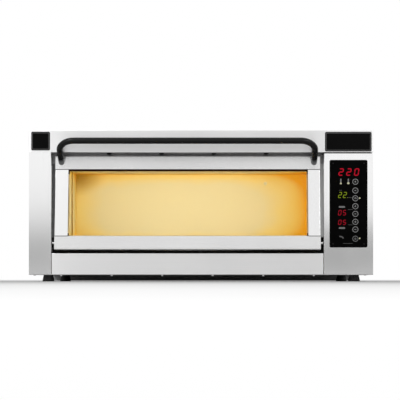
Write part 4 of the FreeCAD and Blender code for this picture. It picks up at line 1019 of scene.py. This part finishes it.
# Rear fittings
# A black moulded cable gland, and a spun steel spigot that the exhaust duct pushes over.
# Both stand on the rear panel.

gland_plastic = grained("gland_plastic", grey(0.015), grey(0.04), rough=(0.4, 0.55), grain=even(700),
                        relief=0.0001)
dress(gland_plastic, "cable_gland")
dress(spun_steel, "exhaust_spigot")

# Badge plates
# Two bare black plates stuck on the top fascia, one over each post, with rounded corners.
# A fine grey line runs round each, a little in from its edge.

BADGES = {"small_badge": (-0.5125, 0.3960, -0.4560, 0.4520), "wide_badge": (0.3745, 0.3928, 0.5150, 0.4514)}
BADGE_THICKNESS = 0.0010
BADGE_CORNER = 0.0042
BADGE_INSETS = (0.0026, 0.0044)
CORNER_STEPS = 6


def rounded(edges, inset, radius):
    """A rectangle with round corners, set in from its left, low, right and high edges."""
    left_edge, low_edge, right_edge, high_edge = edges
    sides = (left_edge + inset + radius, right_edge - inset - radius)
    heights = (low_edge + inset + radius, high_edge - inset - radius)
    outline = []
    for quarter, (side, height) in enumerate(((1, 1), (0, 1), (0, 0), (1, 0))):
        for step in range(CORNER_STEPS + 1):
            angle = math.pi/2*(quarter + step/CORNER_STEPS)
            outline.append((sides[side] + radius*math.cos(angle), heights[height] + radius*math.sin(angle)))
    return outline


def frame_line(shape, outer, inner, surface, film):
    """Adds a closed thin line between two outlines of as many points."""
    rings = [[shape.verts.new((across, surface - rise, up)) for across, up in outline]
             for outline, rise in ((outer, 0), (outer, film), (inner, film), (inner, 0))]
    count = len(outer)
    for ring, following in zip(rings, rings[1:] + rings[:1]):
        for corner in range(count):
            after = (corner + 1) % count
            shape.faces.new((ring[corner], ring[after], following[after], following[corner]))


badge_black = grained("badge_black", grey(0.001), grey(0.004), rough=(0.12, 0.2), grain=even(30),
                      sheen=0.04)
badge_line = grained("badge_line", grey(0.05), grey(0.08), rough=(0.4, 0.5), grain=even(900))
for name, edges in BADGES.items():
    plate = bmesh.new()
    stamp(plate, rounded(edges, 0, BADGE_CORNER), front, BADGE_THICKNESS)
    new_piece(name, plate, badge_black, "oven_body")
    line = bmesh.new()
    outer, inner = (rounded(edges, inset, BADGE_CORNER - inset/2) for inset in BADGE_INSETS)
    frame_line(line, outer, inner, front - BADGE_THICKNESS, PRINT_FILM)
    new_piece(name + "_line", line, badge_line, "oven_body")

# Floor, light and camera
# A pale floor under plain soft light, with a painted shadow round the oven, in a white room whose walls dim
# towards their foot.
# The camera stands low in front of the oven, a little right of its middle.

WHITE = (1, 1, 1, 1)
FLOOR_HALF = 30.0
FLOOR_LIFT = 0.58
LIFT_REACH = (1.6, 3.9)
ROOM_STRENGTH = 0.75
WALL_FOOT = 0.33
FOOT_RISE = (0.028, 0.050)
SEEN_RAYS = ("Is Camera Ray", "Is Glossy Ray", "Is Transmission Ray")
LIGHT_AIM = (0, 0, 0.2)
MAIN_PLACE = (-1.8, -2.6, 2.2)
MAIN_SIZE = (1.6, 1.2)
MAIN_POWER = 40
FILL_PLACE = (2.2, -2.4, 1.6)
FILL_SIZE = (1.4, 1.2)
FILL_POWER = 18
EYE_DISTANCE = 4.0
EYE_X = 0.0664
EYE_HEIGHT = 0.0075
VIEW_WIDTH = 1.208
VIEW_CENTRE_X = -0.003
VIEW_CENTRE_Z = 0.246
SENSOR = 36.0
CLIP = (0.001, 100)


def either_ray(tree, *rays):
    """One for the named kinds of ray and nought for the others."""
    path = tree.nodes.new("ShaderNodeLightPath")
    total = path.outputs[rays[0]]
    for ray in rays[1:]:
        either = add_node(tree, "ShaderNodeMath", {0: total, 1: path.outputs[ray]}, operation="MAXIMUM")
        total = either.outputs["Value"]
    return total


floor_mesh = bpy.data.meshes.new("floor")
corners = [(side*FLOOR_HALF, depth*FLOOR_HALF, 0) for side, depth in ((-1, -1), (1, -1), (1, 1), (-1, 1))]
floor_mesh.from_pydata(corners, [], [(0, 1, 2, 3)])
floor = bpy.data.objects.new("floor", floor_mesh)
bpy.context.scene.collection.objects.link(floor)
floor_paint = grained("floor_paint", grey(0.47), grey(0.51), rough=(0.8, 0.9), grain=even(2), sheen=0)
floor_tree = floor_paint.node_tree
# The white lift is none near the oven and full far off, so a painted shadow pools round it.
away = vector_math(floor_tree, "LENGTH", object_place(floor_tree))
lift = add_node(floor_tree, "ShaderNodeMath", {
    0: either_ray(floor_tree, *SEEN_RAYS), 1: ranged(floor_tree, away, LIFT_REACH, (0, FLOOR_LIFT))},
    operation="MULTIPLY")
feed(floor_tree, floor_tree.nodes["Principled BSDF"], {
    "Emission Color": WHITE, "Emission Strength": lift.outputs["Value"]})
floor_mesh.materials.append(floor_paint)

world = bpy.data.worlds.new("white_room")
bpy.context.scene.world = world
world.use_nodes = True
room_tree = world.node_tree
room = room_tree.nodes["Background"]
feed(room_tree, room, {"Color": WHITE, "Strength": ROOM_STRENGTH})
direction = room_tree.nodes.new("ShaderNodeTexCoord")
heights = add_node(room_tree, "ShaderNodeSeparateXYZ", {"Vector": direction.outputs["Generated"]})
wall = ranged(room_tree, heights.outputs["Z"], FOOT_RISE, (WALL_FOOT, 1), interpolation_type="SMOOTHSTEP")
mirrored_wall = add_node(room_tree, "ShaderNodeBackground", {"Color": wall})
plain_white = add_node(room_tree, "ShaderNodeBackground", {"Color": WHITE})
reflected = add_node(room_tree, "ShaderNodeMixShader", {
    "Fac": either_ray(room_tree, "Is Glossy Ray"),
    1: plain_white.outputs["Background"], 2: mirrored_wall.outputs["Background"]})
seen = add_node(room_tree, "ShaderNodeMixShader", {
    "Fac": either_ray(room_tree, *SEEN_RAYS), 1: room.outputs["Background"], 2: reflected.outputs["Shader"]})
feed(room_tree, room_tree.nodes["World Output"], {"Surface": seen.outputs["Shader"]})

soft_lamp("key_light", MAIN_PLACE, LIGHT_AIM, *MAIN_SIZE, MAIN_POWER)
soft_lamp("fill_light", FILL_PLACE, LIGHT_AIM, *FILL_SIZE, FILL_POWER)

camera_lens = bpy.data.cameras.new("camera")
camera_lens.sensor_width = SENSOR
camera_lens.lens = SENSOR*EYE_DISTANCE/VIEW_WIDTH
camera_lens.shift_x = (VIEW_CENTRE_X - EYE_X)/VIEW_WIDTH
camera_lens.shift_y = (VIEW_CENTRE_Z - EYE_HEIGHT)/VIEW_WIDTH
camera_lens.clip_start, camera_lens.clip_end = CLIP
camera = bpy.data.objects.new("camera", camera_lens)
camera.location = (EYE_X, front - EYE_DISTANCE, EYE_HEIGHT)
camera.rotation_euler = (math.radians(90), 0, 0)
bpy.context.scene.collection.objects.link(camera)
bpy.context.scene.camera = camera
bpy.context.scene.view_settings.view_transform = "Standard"
